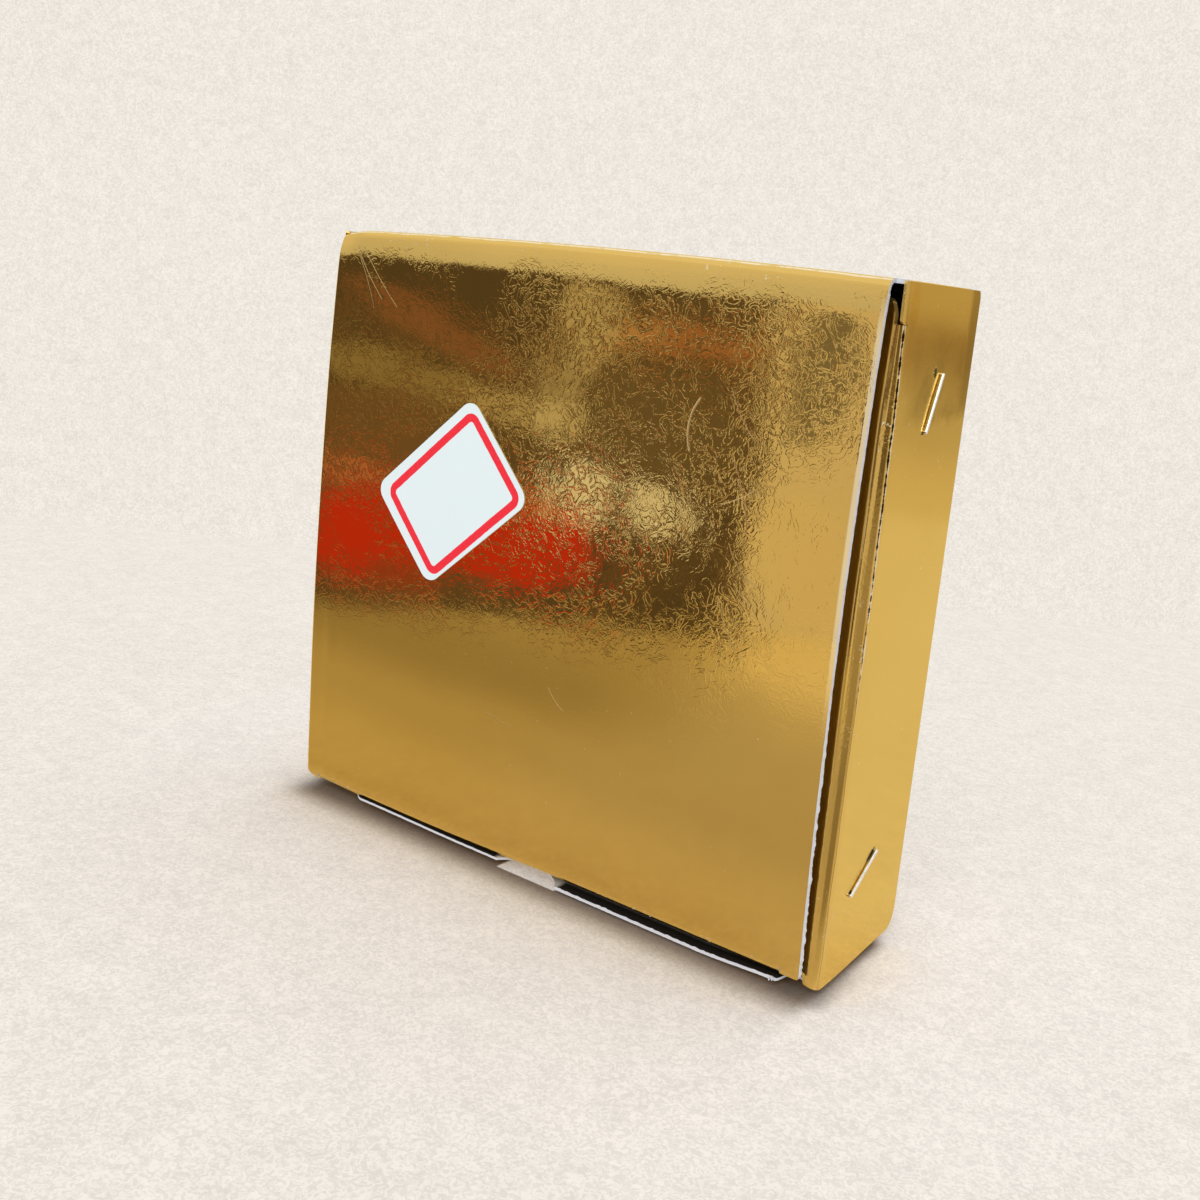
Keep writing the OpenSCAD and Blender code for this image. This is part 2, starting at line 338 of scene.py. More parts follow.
@dataclass(frozen=True)
class FoilFinish:
    """Gold foil laminated on board: mirror-like, crinkled, rubbed and here and there scratched."""

    wear: Foil
    gold: Colour = (0.79, 0.535, 0.155)
    deep_gold: Colour = (0.745, 0.485, 0.125)
    board_white: Colour = (0.80, 0.77, 0.68)
    edge_tint: Colour = (1.0, 0.93, 0.62)
    roughness: float = 0.07
    # Where the painted highlight along the lid's right cut edge begins.
    edge_highlight_x: float = 49.45
    scratches: tuple[Scratch, ...] = ()

    @staticmethod
    def _ridge(bench: Bench, at: Wire, wave: float, swirl: float, sharpness: float) -> Wire:
        """Thin winding lines, 1 on the line and 0 beside it.

        Args:
            bench: The material's bench.
            at: Coordinates in millimetres.
            wave: Spacing of the lines.
            swirl: How much they wind.
            sharpness: How thin they are.

        Returns:
            The mask.
        """
        return (1 - abs(bench.grain(at, wave, 2.0, 0.5, swirl) - 0.5) * sharpness).larger(0.0)

    @staticmethod
    def _spot(deep: Wire, up: Wire, at: tuple[float, float], half: tuple[float, float], turn: float = 0.0) -> Wire:
        """Soft oval mark on a side wall.

        Args:
            deep: Position along the depth in millimetres.
            up: Height in millimetres.
            at: The mark's middle.
            half: Its half length and half width.
            turn: Its slope in degrees.

        Returns:
            1 inside and 0 outside.
        """
        cos, sin = math.cos(math.radians(turn)), math.sin(math.radians(turn))
        along = ((deep - at[0]) * cos + (up - at[1]) * sin) * (1 / half[0])
        beside = ((up - at[1]) * cos - (deep - at[0]) * sin) * (1 / half[1])
        return (along * along + beside * beside).step(1.5, 0.4)

    def _dark_patches(self, bench: Bench, at: Wire, across: Wire, deep: Wire, up: Wire) -> Wire:
        """Darker, rougher patches round the upper staple of the right wall."""
        ragged = (bench.grain(at, 4.5, 4.0, 0.65) - 0.5) * 5.0
        reach = up + ragged
        field = reach.step(79.5, 82.5) * reach.step(94.0, 88.5) * (deep + ragged).step(-11.0, -6.0)
        blotches = bench.grain(at, 6.5, 3.0, 0.6).step(0.40, 0.66)
        streak = self._spot(deep, up, (-3.6, 86.0), (3.4, 1.3), 28.0).larger(
            self._spot(deep, up, (1.6, 90.3), (3.0, 0.7), 36.0))
        border = (deep + ragged * 0.3).step(8.6, 10.4) * up.step(80.5, 83.5) * 0.75
        rubbed = streak * (0.30 + blotches * 0.40)
        here = across.step(49.5, 50.5) * deep.step(13.4, 12.9)
        return (field * (0.30 + blotches * 0.35)).larger(rubbed).larger(border) * here

    def _holes_and_shade(self, across: Wire, deep: Wire, up: Wire) -> Wire:
        """Dark slits where the staples' legs went through the right wall, painted near black as shade in the holes.
        """
        marks = self._spot(deep, up, (-0.4, 87.6), (0.5, 0.8))
        for at, half, turn in (((-1.9, 79.3), (0.7, 0.3), 10.0), ((0.0, 17.0), (1.5, 0.42), 32.0),
                               ((-5.8, 12.9), (0.6, 0.35), 30.0)):
            marks = marks.larger(self._spot(deep, up, at, half, turn))
        return marks * across.step(0.0, 1.0)

    @staticmethod
    def _crack_and_shade(bench: Bench) -> Wire:
        """Split in the foil along the fold, painted near black as the shade in its open gap: open at the top, broken
        lower down and gone at the foot.
        """
        along, run = bench.flat()
        line = bench.add("ShaderNodeCombineXYZ", None, {0: along})
        wander = bench.grain(bench.wire(line), 9.0, 2.0, 0.5)
        teeth = bench.grain(bench.wire(line), 1.6, 3.0, 0.7)
        width = along.step(46.0, 82.0) * 0.08 + along.step(36.0, 56.0) * (teeth - 0.46) * 0.8
        return (abs(run - 1.30 - (wander - 0.5) * 0.5) - width).step(0.05, -0.05)

    @staticmethod
    def _crest_highlight(bench: Bench) -> Wire:
        """Pale line painted along the middle of a fold as a highlight, broken here and there."""
        along, run = bench.flat()
        line = bench.wire(bench.add("ShaderNodeCombineXYZ", None, {0: along}))
        wander = (bench.grain(line, 8.0, 2.0, 0.5) - 0.5) * 0.5
        worn = bench.grain(line, 5.0, 3.0, 0.7).step(0.36, 0.52)
        return abs(run - 1.25 - wander).step(0.26, 0.10) * worn

    def material(self) -> bpy.types.Material:
        """Builds the foil for this kind of wear."""
        material, bench = new_material(f"foil_{self.wear.value}")
        at = bench.place()
        across, deep, up = bench.split(at)
        crinkles = {Foil.LID: 1.0, Foil.WALL: 0.22, Foil.CREASE: 0.5, Foil.CRACKED: 0.5, Foil.HIDDEN: 0.4}
        crinkled: Value = crinkles[self.wear]
        if self.wear is Foil.LID:
            crinkled = (up.step(26.0, 48.0) * 0.86 + 0.14) * (1 - across.step(32.0, 39.0) * up.step(80.0, 68.0) * 0.6)
            # Painted highlight: a pale band with fewer crinkles along the lid's right cut edge, only higher up and
            # fading at the top.
            painted_highlight_band = bench.flat()[0].step(self.edge_highlight_x - 0.25, self.edge_highlight_x + 0.05)
            painted_highlight_band = painted_highlight_band * up.step(34.0, 58.0) * up.step(98.6, 91.0)
            crinkled = crinkled * (1 - painted_highlight_band * 0.9)
        patchy = bench.grain(at, 9.0, 3.0).step(0.34, 0.60) * 0.75 + 0.25
        worms = self._ridge(bench, at, 2.6, 2.2, 14.0) * patchy * 0.0105
        loops = self._ridge(bench, at, 2.0, 2.4, 8.0) * (0.0014 + patchy * 0.0009)
        dimples = bench.grain(at, 5.0, 1.0) * 0.020 + bench.grain(at, 2.0, 1.0) * 0.006
        height = crinkled * (worms + loops + dimples) + bench.grain(at, 15.0, 1.0) * 0.06
        rub = bench.grain(at, 9.0, 4.0, 0.65)
        rough = self.roughness + rub * 0.08
        tone = bench.mix(bench.grain(at, 26.0, 2.0), self.gold, self.deep_gold)
        if self.wear is Foil.LID:
            rough = rub * 0.03 + 0.035 + up.step(46.0, 32.0) * 0.06
            # Painted highlight: the band along the right edge is painted pale gold.
            tone = bench.mix(painted_highlight_band * 0.85, tone, (0.98, 0.86, 0.58))
        if self.scratches:
            lines = self.scratches[0].depth(bench, across, up)
            for scratch in self.scratches[1:]:
                lines = lines.larger(scratch.depth(bench, across, up))
            height = height - lines * 0.02
            rough = rough + lines * 0.25
            tone = bench.mix(lines * 0.55, tone, (0.97, 0.88, 0.62))
        specks = bench.grain(at, 0.9, 1.0).step(0.755, 0.80)
        tone = bench.mix(specks * 0.55, tone, (0.93, 0.84, 0.62))
        metal: Value = 1.0
        if self.wear is Foil.WALL:
            dark_patches = self._dark_patches(bench, at, across, deep, up)
            dents_and_shade = self._holes_and_shade(across, deep, up)
            # Darker brown, rougher patches round the upper staple of the right wall.
            tone = bench.mix(dark_patches, tone, (0.36, 0.22, 0.05))
            amber = self._spot(deep, up, (-10.4, 96.2), (1.4, 3.4)) * across.step(0.0, 1.0)
            tone = bench.mix(amber * 0.5, tone, (0.72, 0.42, 0.06))
            # Painted shade: the staple holes and slits are painted near black; they are also sunk.
            tone = bench.mix(dents_and_shade * 0.92, tone, (0.02, 0.012, 0.006))
            rough = rough + dark_patches * 0.12
            height = height - dents_and_shade * 0.10 - dark_patches * 0.02
            slant = bench.stretch(bench.place(turn=(math.radians(-38), 0.0, 0.0)), (1.0, 0.22, 1.0))
            corner = up.step(20.0, 5.0) * deep.step(-8.0, 5.0)
            height = height + bench.grain(slant, 1.1, 2.0, 0.5, 0.6) * corner * 0.035
        if self.wear in (Foil.CREASE, Foil.CRACKED):
            flakes = bench.grain(at, 0.8, 3.0, 0.7, 0.6)
            worn = bench.grain(at, 9.0, 1.0).step(0.46, 0.70)
            bare = flakes.step(0.62, 0.67) * worn
            metal = 1 - bare
            crest_highlight = self._crest_highlight(bench)
            if self.wear is Foil.CRACKED:
                crest_highlight = crest_highlight * bench.flat()[0].step(38.0, 56.0)
            # Painted highlight: the crest line is painted pale gold; the bare flakes show the real white board.
            tone = bench.mix(bare, bench.mix(crest_highlight * 0.8, tone, (0.98, 0.90, 0.70)), self.board_white)
            rough = rough + bare * 0.5 + crest_highlight * 0.2 + 0.02
            height = height - bare * 0.03 + flakes * 0.012
        if self.wear is Foil.CRACKED:
            crack_and_shade = self._crack_and_shade(bench)
            # Painted shade: the open split is painted near black; it is also rougher and sunk.
            tone = bench.mix(crack_and_shade, tone, (0.018, 0.012, 0.006))
            rough = rough + crack_and_shade * 0.2
            height = height - crack_and_shade * 0.12
        bench.surface(Base_Color=tone, Metallic=metal, Roughness=rough, Normal=bench.bump(height),
                      Specular_Tint=self.edge_tint)
        return material


@dataclass(frozen=True)
class BoardFinish:
    """Bare board: the pale grey inner face, or the white cut edge with its fibres."""

    name: str
    light: Colour
    dark: Colour
    fibre_mm: float
    relief_mm: float
    # Whether the board takes painted shade along its front.
    painted_shade: bool = False

    def material(self) -> bpy.types.Material:
        """Builds the board; one marked for it is painted dark along its front, beside the thumb notch, as painted
        shade for the deep gap under the lid.
        """
        material, bench = new_material(self.name)
        at = bench.place()
        clouds = bench.grain(at, 7.0, 3.0, 0.6)
        fibres = bench.grain(bench.stretch(at, (1.0, 1.0, 0.45)), self.fibre_mm, 3.0, 0.65, 0.8)
        flecks = bench.grain(at, 0.5, 1.0).step(0.74, 0.78)
        tone = bench.mix(clouds * 0.5 + fibres * 0.5, self.light, self.dark)
        tone = bench.mix(flecks * 0.4, tone, (0.42, 0.39, 0.34))
        if self.painted_shade:
            # Painted shade: the front strip beside the notch is darkened for the deep shade under the lid.
            across, deep, _ = bench.split(at)
            tone = bench.mix(deep.step(-9.4, -11.6) * abs(across).step(6.0, 7.0), tone, (0.016, 0.013, 0.010))
        bench.surface(Base_Color=tone, Roughness=0.86, Specular_IOR_Level=0.15,
                      Normal=bench.bump(fibres * self.relief_mm))
        return material


@dataclass(frozen=True)
class StapleFinish:
    """Zinc-plated staple wire, dulled where it was pressed."""

    bright: Colour = (0.97, 0.97, 0.98)
    dull: Colour = (0.74, 0.74, 0.75)

    def material(self) -> bpy.types.Material:
        """Builds the wire."""
        material, bench = new_material("staple_wire")
        at = bench.place()
        rub = bench.grain(at, 0.9, 3.0, 0.6)
        tone = bench.mix(rub.step(0.42, 0.68), self.bright, self.dull)
        bench.surface(Base_Color=tone, Metallic=1.0, Roughness=0.20 + rub * 0.2,
                      Normal=bench.bump(rub * 0.01))
        return material


@dataclass(frozen=True)
class LabelFinish:
    """White label paper with a thin red border line and nothing inside it."""

    size: tuple[float, float]
    centre: Colour
    turn: float
    inset: float = 0.95
    line: float = 1.35
    corner: float = 2.0
    white: Colour = (0.835, 0.955, 1.0)
    red: Colour = (0.93, 0.008, 0.030)

    def material(self) -> bpy.types.Material:
        """Builds the paper; the border is a rounded frame about the label's middle."""
        material, bench = new_material("label_paper")
        centre = tuple(c * MM for c in self.centre)
        at = bench.place(centre=centre, turn=(0.0, self.turn, 0.0))
        along, _, up = bench.split(at)
        half_w = self.size[0] / 2 - self.inset - self.corner
        half_h = self.size[1] / 2 - self.inset - self.corner
        out_x = (abs(along) - half_w).larger(0.0)
        out_z = (abs(up) - half_h).larger(0.0)
        inner = (abs(along) - half_w).larger(abs(up) - half_h).smaller(0.0)
        reach = (out_x * out_x + out_z * out_z) ** 0.5 + inner - self.corner
        wobble = bench.grain(at, 0.8, 2.0) * 0.12 - 0.06
        middle = abs(reach + self.line / 2 + wobble)
        ink = middle.step(self.line / 2 + 0.06, self.line / 2 - 0.06)
        clouds = bench.grain(at, 8.0, 3.0)
        fibre = bench.grain(at, 0.5, 3.0, 0.65)
        paper = bench.mix(clouds, self.white, (0.80, 0.92, 0.98))
        tone = bench.mix(ink * (0.95 + fibre * 0.05), paper, self.red)
        bench.surface(Base_Color=tone, Roughness=0.50 + fibre * 0.12, Specular_IOR_Level=0.12,
                      Normal=bench.bump(fibre * 0.008 + clouds * 0.05))
        return material


@dataclass
class Kit:
    """The finishes that every piece of board takes: foil outside, board inside, cut edge round it."""

    foils: dict[Foil, bpy.types.Material]
    inner: bpy.types.Material
    # Inner board with painted shade along the bottom wall's front.
    painted_shade: bpy.types.Material
    edge: bpy.types.Material


@dataclass
class Sheet:
    """One panel of board, laid out flat as a grid and folded into place by a function.

    The grid's columns stand at the stations, and each column runs from low to high. The fold gives
    the outer face; the board's thickness goes inwards from it, away from the way that out points.
    """

    name: str
    stations: Sequence[float]
    rows: int
    low: Profile
    high: Profile
    fold: Fold
    out: Vector
    thickness: float = 0.6

    def build(self, materials: Sequence[bpy.types.Material]) -> bpy.types.Object:
        """Makes the panel.

        Args:
            materials: Those of the outer face, the inner face and the cut edge.

        Returns:
            The finished object, at the origin.
        """
        columns = len(self.stations) - 1
        bm = bmesh.new()
        bmesh.ops.create_grid(bm, x_segments=columns, y_segments=self.rows, size=0.5)
        flat = bm.loops.layers.uv.new("flat")
        for vertex in bm.verts:
            station = self.stations[round((vertex.co.x + 0.5) * columns)]
            share = vertex.co.y + 0.5
            low, high = self.low(station), self.high(station)
            across = low + (high - low) * share
            vertex.co = self.fold(station, across) * MM
            for loop in vertex.link_loops:
                loop[flat].uv = (station * MM, across * MM)
        bm.normal_update()
        facing = sum((face.normal * face.calc_area() for face in bm.faces), Vector())
        if facing.dot(self.out) < 0:
            bmesh.ops.reverse_faces(bm, faces=bm.faces)
        for face in bm.faces:
            face.smooth = True
        mesh = bpy.data.meshes.new(self.name)
        bm.to_mesh(mesh)
        bm.free()
        for material in materials:
            mesh.materials.append(material)
        piece = bpy.data.objects.new(self.name, mesh)
        bpy.context.scene.collection.objects.link(piece)
        wall = piece.modifiers.new("thickness", "SOLIDIFY")
        wall.thickness, wall.offset = self.thickness * MM, -1.0
        wall.material_offset, wall.material_offset_rim = 1, 2
        return settled(piece)


def settled(piece: bpy.types.Object) -> bpy.types.Object:
    """Bakes a piece's modifiers into its mesh and keeps its cut edges sharp."""
    bpy.context.view_layer.update()
    shaped = bpy.data.meshes.new_from_object(piece.evaluated_get(bpy.context.evaluated_depsgraph_get()))
    piece.modifiers.clear()
    piece.data = shaped
    shaped.name = piece.name
    bm = bmesh.new()
    bm.from_mesh(shaped)
    for edge in bm.edges:
        if len(edge.link_faces) == 2 and edge.link_faces[0].material_index != edge.link_faces[1].material_index:
            edge.smooth = False
    bm.to_mesh(shaped)
    bm.free()
    return piece


@dataclass
class BoxSizes:
    """Sizes of the box in millimetres, as in the part's source."""

    width: float = 105.4
    height: float = 99.5
    depth: float = 27.0
    board: float = 0.6
    fold: float = 1.2
    label: float = 0.1
    tab_fold: float = 0.7
    tab_length: float = 26.0
    tab_inset: float = 1.6
    lid_width: float = 102.3
    lid_shift: float = -1.15
    lid_gap: float = 0.3
    play: float = 0.1
    dust_gap: float = 0.5
    dust_length: float = 40.0
    land: float = 0.5

    @property
    def side_x(self) -> float:
        """Outer face of the side walls."""
        return self.width / 2

    @property
    def back_y(self) -> float:
        """Outer face of the back panel."""
        return self.depth / 2

    @property
    def lid_y(self) -> float:
        """Outer face of the lid."""
        return -self.depth / 2 + self.label

    @property
    def hinge(self) -> tuple[float, float]:
        """The lid hinge's place in depth and height."""
        return self.lid_y + self.fold, self.height - self.fold

    @property
    def tuck(self) -> tuple[float, float]:
        """The tuck fold's place in depth and height."""
        return self.lid_y + self.fold, self.board + self.lid_gap + self.fold

    @property
    def dust(self) -> tuple[float, float]:
        """The right dust fold's place in width and depth."""
        return self.side_x - self.fold, self.lid_y + self.board + self.dust_gap + self.fold

    @property
    def tab_x(self) -> float:
        """Where the top and bottom walls end and the corner tabs fold."""
        return self.side_x - self.board - self.tab_fold

    @property
    def lid_x(self) -> tuple[float, float]:
        """Both cut ends of the lid."""
        return self.lid_shift - self.lid_width / 2, self.lid_shift + self.lid_width / 2


@dataclass
class Bow:
    """How the board of this one box has bowed, sagged and been knocked, in millimetres."""

    sizes: BoxSizes
    top_rise: float = 0.9
    lid_dome: float = 0.35
    left_bulge: float = 1.4
    right_hollow: float = 0.8
    crease_lean_top: float = -0.8
    crease_lean_bottom: float = -0.35
    crease_hollow: float = 0.15
    left_back: float = 0.15
    roll_height: float = 6.2
    roll_depth: float = 0.62
    edge_turn: float = 0.13
    lid_drop: float = 0.15
    lid_belly: float = 0.52
    sag_left: float = -0.12
    sag_middle: float = 0.12
    sag_right: float = 0.78
    sag_end: float = 0.18

    def lid(self, point: Vector) -> Vector:
        """Moves a point of the lid, its crease or its label."""
        x, z = point.x, point.z
        left, right = self.sizes.lid_x
        top = self.sizes.height
        up = hump(0.0, top, z)
        dx = -self.left_bulge * up * smooth(0.0, left, x) - self.right_hollow * up * smooth(10.0, right, x)
        dy = -self.lid_dome * hump(left, right, x) * up
        dy += 0.10 * ripple(x, z, 24.0, 1.3) * smooth(1.0, 12.0, z) * smooth(top, top - 10.0, z)
        dy += 0.04 * ripple(x, z, 9.0, 4.1) * smooth(20.0, 60.0, z) * smooth(top, top - 6.0, z)
        dy -= 0.06 * bell(x, -47.9, 0.9) * smooth(46.0, 30.0, z)
        rolled = max(z - (top - self.roll_height), 0.0) / self.roll_height
        dy += self.roll_depth * rolled ** 2 * (1.0 + 0.45 * ripple(x, 0.0, 17.0, 3.3))
        dy += self.edge_turn * smooth(0.35, 0.0, x - left) ** 2
        dent = bell(x, left + 0.8, 2.6) * bell(z, top - 0.4, 2.2)
        dy += 0.40 * dent
        dz = self.top_rise * hump(left - 4.0, right + 4.0, x) * smooth(45.0, top, z) - 0.40 * dent
        dz -= (self.lid_drop + self.lid_belly * hump(-50.0, 2.0, x)) * smooth(14.0, 0.0, z)
        return point + Vector((dx, dy, dz))

    def top(self, point: Vector) -> Vector:
        """Moves a point of the top wall: its front edge goes with the lid's crease."""
        front, back = self.sizes.hinge[0], self.sizes.back_y
        lid_like = self.lid(Vector((point.x, front, self.sizes.height)))
        share = smooth(back, front, point.y)
        rise = (lid_like.z - self.sizes.height) * (0.4 + 0.6 * share)
        dent_y = (lid_like.y - front) * share
        return point + Vector((0.0, dent_y, rise * smooth(back + 0.5, back - 3.0, point.y)))

    def bottom(self, point: Vector) -> Vector:
        """Moves a point of the bottom wall, which sags to the floor along its cut front edge."""
        front, back = self.sizes.lid_y, self.sizes.back_y
        share = smooth(back - 2.0, front, point.y)
        sag = self.sag_left + (self.sag_middle - self.sag_left) * smooth(-36.0, -14.0, point.x)
        sag += (self.sag_right - self.sag_middle) * smooth(-5.0, 6.0, point.x)
        sag += (self.sag_end - self.sag_right) * smooth(33.0, 47.0, point.x)
        return point - Vector((0.0, 0.0, sag * share))

    def fold_line(self, z: float) -> float:
        """How far the fold between the side wall and its dust flap stands out of its place, at a height."""
        lean = self.crease_lean_top * smooth(78.0, 97.0, z) + self.crease_lean_bottom * smooth(7.0, 0.0, z)
        return lean + self.crease_hollow * bell(z, 52.0, 14.0)

    def wall(self, point: Vector, side: float) -> Vector:
        """Moves a point of a side wall, a corner tab's face or a dust crease.

        Args:
            point: Point of the closed box.
            side: 1 for the right wall and -1 for the left one.

        Returns:
            The moved point.
        """
        root, front = self.sizes.dust
        y, z = point.y, point.z
        dy = (self.fold_line(z) if side > 0 else self.left_back) * smooth(6.0, front - self.sizes.fold, y)
        dy *= smooth(root - 1.6, root + self.sizes.fold, abs(point.x))
        dent = bell(y, 0.0, 5.0) * bell(z, 84.0, 6.0) * 0.10
        dx = 0.10 * ripple(y, z, 12.0, 7.7 * side) * smooth(30.0, 8.0, z) * smooth(front, front + 4.0, y)
        dx = max(dx, 0.0) - dent
        return point + Vector((side * dx, dy, 0.0))

    def back(self, point: Vector) -> Vector:
        """Moves a point of the back panel."""
        half, top = self.sizes.side_x, self.sizes.height
        dome = 0.25 * hump(-half, half, point.x) * hump(0.0, top, point.z)
        wave = 0.08 * ripple(point.x, point.z, 20.0, 9.4) * hump(-half, half, point.x) * hump(0.0, top, point.z)
        return point + Vector((0.0, dome + wave, 0.0))


def ring(centre: tuple[float, float], radius: float, degrees: float, crisp: float = 0.0) -> tuple[float, float]:
    """Point on a fold's round, in the plane of its two axes.

    Args:
        centre: Centre of the round.
        radius: Outer radius.
        degrees: Direction from the centre.
        crisp: How far the corner stands out, as a share of the radius.

    Returns:
        The point.
    """
    angle = math.radians(degrees)
    reach = radius * (1 + crisp * bell((degrees % 90.0) - 45.0, 0.0, 20.0))
    return centre[0] + reach * math.cos(angle), centre[1] + reach * math.sin(angle)


def dress(piece: bpy.types.Object, slot: str, body: Optional[str], *nodes: str) -> bpy.types.Object:
    """Attaches a piece to its body, if it has one, hides the nodes that it replaces and logs them."""
    if body:
        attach(piece, body)
    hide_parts(*nodes)
    LOG.info("%s stands for %s: %d faces", piece.name, ", ".join(nodes), len(piece.data.polygons))
    return piece


@dataclass
class Tray:
    """The fixed part of the box: back panel, top, bottom and side walls, and the corner tabs."""

    sizes: BoxSizes
    bow: Bow
    kit: Kit
    notch_width: float = 12.2
    notch_depth: float = 3.4
    corner_cut: tuple[float, float] = (3.2, 3.4)
    cut_front: float = -0.05
    ear_run: float = 1.3
    ear_turn: float = 0.3
    tucked: float = 3.0
    side_lift: tuple[float, float] = (0.3, 1.3)
    pieces: list[bpy.types.Object] = field(default_factory=list)

    def build(self) -> None:
        """Builds every panel of the tray."""
        self.back_panel()
        self.top_wall()
        self.bottom_wall()
        for side, word in ((-1.0, "left"), (1.0, "right")):
            self.side_wall(side, word)
            self.corner_tab(side, word, low=True)
            self.corner_tab(side, word, low=False)

    def _finish(self, sheet: Sheet, wear: Foil, *nodes: str) -> None:
        """Builds one sheet in the tray's body."""
        # The bottom wall's inner face takes the board with painted shade along its front.
        inner = self.kit.painted_shade if "bottom_wall" in nodes else self.kit.inner
        piece = sheet.build((self.kit.foils[wear], inner, self.kit.edge))
        self.pieces.append(dress(piece, "foil_board", "tray", *nodes))

    def back_panel(self) -> None:
        """The base of the tray."""
        s = self.sizes
        half, top = s.side_x - s.fold, s.height - s.fold
        self._finish(Sheet(
            "back_board", steps(-half, half, 1.6), 60, lambda u: s.fold, lambda u: top,
            lambda u, v: self.bow.back(Vector((u, s.back_y, v))), Vector((0, 1, 0))), Foil.WALL, "back_panel")

    def top_wall(self) -> None:
        """The wall with the lid's hinge, and its round fold to the back panel."""
        s = self.sizes
        back = s.back_y - s.fold
        arc = s.fold * math.pi / 2

        def fold(x: float, run: float) -> Vector:
            """Over the top and down the round at the back."""
            if run <= back:
                return self.bow.top(Vector((x, run, s.height)))
            y, z = ring((back, s.height - s.fold), s.fold, 90 - 90 * (run - back) / arc)
            return Vector((x, y, z))

        self._finish(Sheet(
            "top_board", steps(-s.tab_x, s.tab_x, 1.2), 30, lambda u: s.hinge[0] + s.land, lambda u: back + arc,
            fold, Vector((0, 0.1, 1))), Foil.WALL, "top_wall")

    def front_edge(self, x: float) -> float:
        """Cut front edge of the bottom wall: thumb notch, relieved corners and a torn, uneven line."""
        s = self.sizes
        edge = s.lid_y + self.cut_front
        half = self.notch_width / 2
        if abs(x) < half:
            radius = (half * half + self.notch_depth ** 2) / (2 * self.notch_depth)
            edge += math.sqrt(radius * radius - x * x) - (radius - self.notch_depth)
        end = s.tab_x - self.corner_cut[0]
        corner = self.corner_cut[1] * max(abs(x) - end, 0.0) / self.corner_cut[0]
        edge += max(corner, self.tucked * (smooth(-38.0, -43.0, x) + smooth(46.6, 47.4, x)))
        return edge + 0.07 * ripple(x, 0.0, 1.1, 5.0) + 0.05 * ripple(x, 0.0, 0.5, 8.0)

    def bottom_wall(self) -> None:
        """The wall that the box stands on, with its round fold to the back panel."""
        s = self.sizes
        back = s.back_y - s.fold
        arc = s.fold * math.pi / 2
        half = self.notch_width / 2
        end = s.tab_x - self.corner_cut[0]

        def fold(x: float, run: float) -> Vector:
            """Along the floor and up the round at the back."""
            if run <= back:
                return self.bow.bottom(Vector((x, run, 0.0)))
            y, z = ring((back, s.fold), s.fold, 270 + 90 * (run - back) / arc)
            return Vector((x, y, z))

        fine = [sign * (half + d) for sign in (-1, 1) for d in (-0.9, -0.5, -0.2, 0.0, 0.2)]
        fine += [-end, end, 46.6, 46.8, 47.0, 47.2, 47.4]
        self._finish(Sheet(
            "bottom_board", steps(-s.tab_x, s.tab_x, 0.4, fine), 34, self.front_edge, lambda u: back + arc,
            fold, Vector((0, 0.1, -1)), thickness=0.40), Foil.WALL, "bottom_wall")

    def side_wall(self, side: float, word: str) -> None:
        """One stapled side wall with its round fold to the back panel; its lower edge is cut askew."""
        s = self.sizes
        front = s.dust[1] + s.land
        ear = s.dust[1] - self.ear_run
        back = s.back_y - s.fold
        arc = s.fold * math.pi / 2
        corner = 2.6

        def low(run: float) -> float:
            """Lower edge, rising to the back, with its far corner rounded."""
            lift = self.side_lift[0] + (self.side_lift[1] - self.side_lift[0]) * smooth(front, back, run)
            if run > back:
                return self.side_lift[1] + corner
            return lift + corner_rise(back - run, corner)

        def high(run: float) -> float:
            """Upper edge, which drops to the back panel's end on the round."""
            return s.height - 0.1 - (s.fold - 0.1) * smooth(back - 0.3, back + 0.3, run)

        def fold(run: float, z: float) -> Vector:
            """Along the wall and round to the back."""
            if run <= back:
                return self.bow.wall(Vector((side * s.side_x, run, z)), side)
            x, y = ring((s.side_x - s.fold, back), s.fold, 90 * (run - back) / arc)
            return Vector((side * x, y, z))

        fine = corner_stations(back, corner, -1.0) + [back, back + arc / 4, back + arc / 2, back + arc * 3 / 4]
        self._finish(Sheet(
            f"{word}_board", steps(front, back + arc, 0.9, fine), 90, low, high, fold,
            Vector((side, 0.1, 0))), Foil.WALL, f"{word}_wall")

        def ear_low(run: float) -> float:
            """Lower edge of the ear, just above the dust flap's shoulder, with its tip rounded."""
            return s.height - 5.74 + corner_rise(run - ear, 0.5)

        def ear_fold(run: float, z: float) -> Vector:
            """Along the wall and turned in a little at the tip."""
            turned = max(s.dust[1] - 0.4 - run, 0.0) / (self.ear_run - 0.4)
            return fold(run, z) - Vector((side * self.ear_turn * turned ** 2, 0.0, 0.0))

        foil = self.kit.foils
        tip = Sheet(f"{word}_ear", steps(ear, front, 0.15), 14, ear_low, high, ear_fold, Vector((side, 0, 0)))
        piece = tip.build((foil[Foil.WALL], self.kit.inner, foil[Foil.CREASE]))
        self.pieces.append(dress(piece, "foil_board", "tray", f"{word}_wall"))

    def corner_tab(self, side: float, word: str, low: bool) -> None:
        """The folded end of the top or bottom wall, inside the side wall.

        Args:
            side: 1 for the right side and -1 for the left one.
            word: Name of that side.
            low: Whether it belongs to the bottom wall.
        """
        s = self.sizes
        arc = s.tab_fold * math.pi / 2
        start = (s.lid_y + 0.2 + self.corner_cut[1]) if low else (s.hinge[0] + s.tab_inset)
        end = s.back_y - s.fold - s.tab_inset
        flat = s.tab_length - s.tab_fold
        face = s.side_x - s.board

        def tip(y: float) -> float:
            """Length of the tab, with its sides sloped and its corners rounded."""
            near = min(y - start, end - y)
            return arc + flat - (9.0 * (3.0 - near) / 3.0 if near < 3.0 else 0.0) - corner_rise(near, 3.6) * 0.4

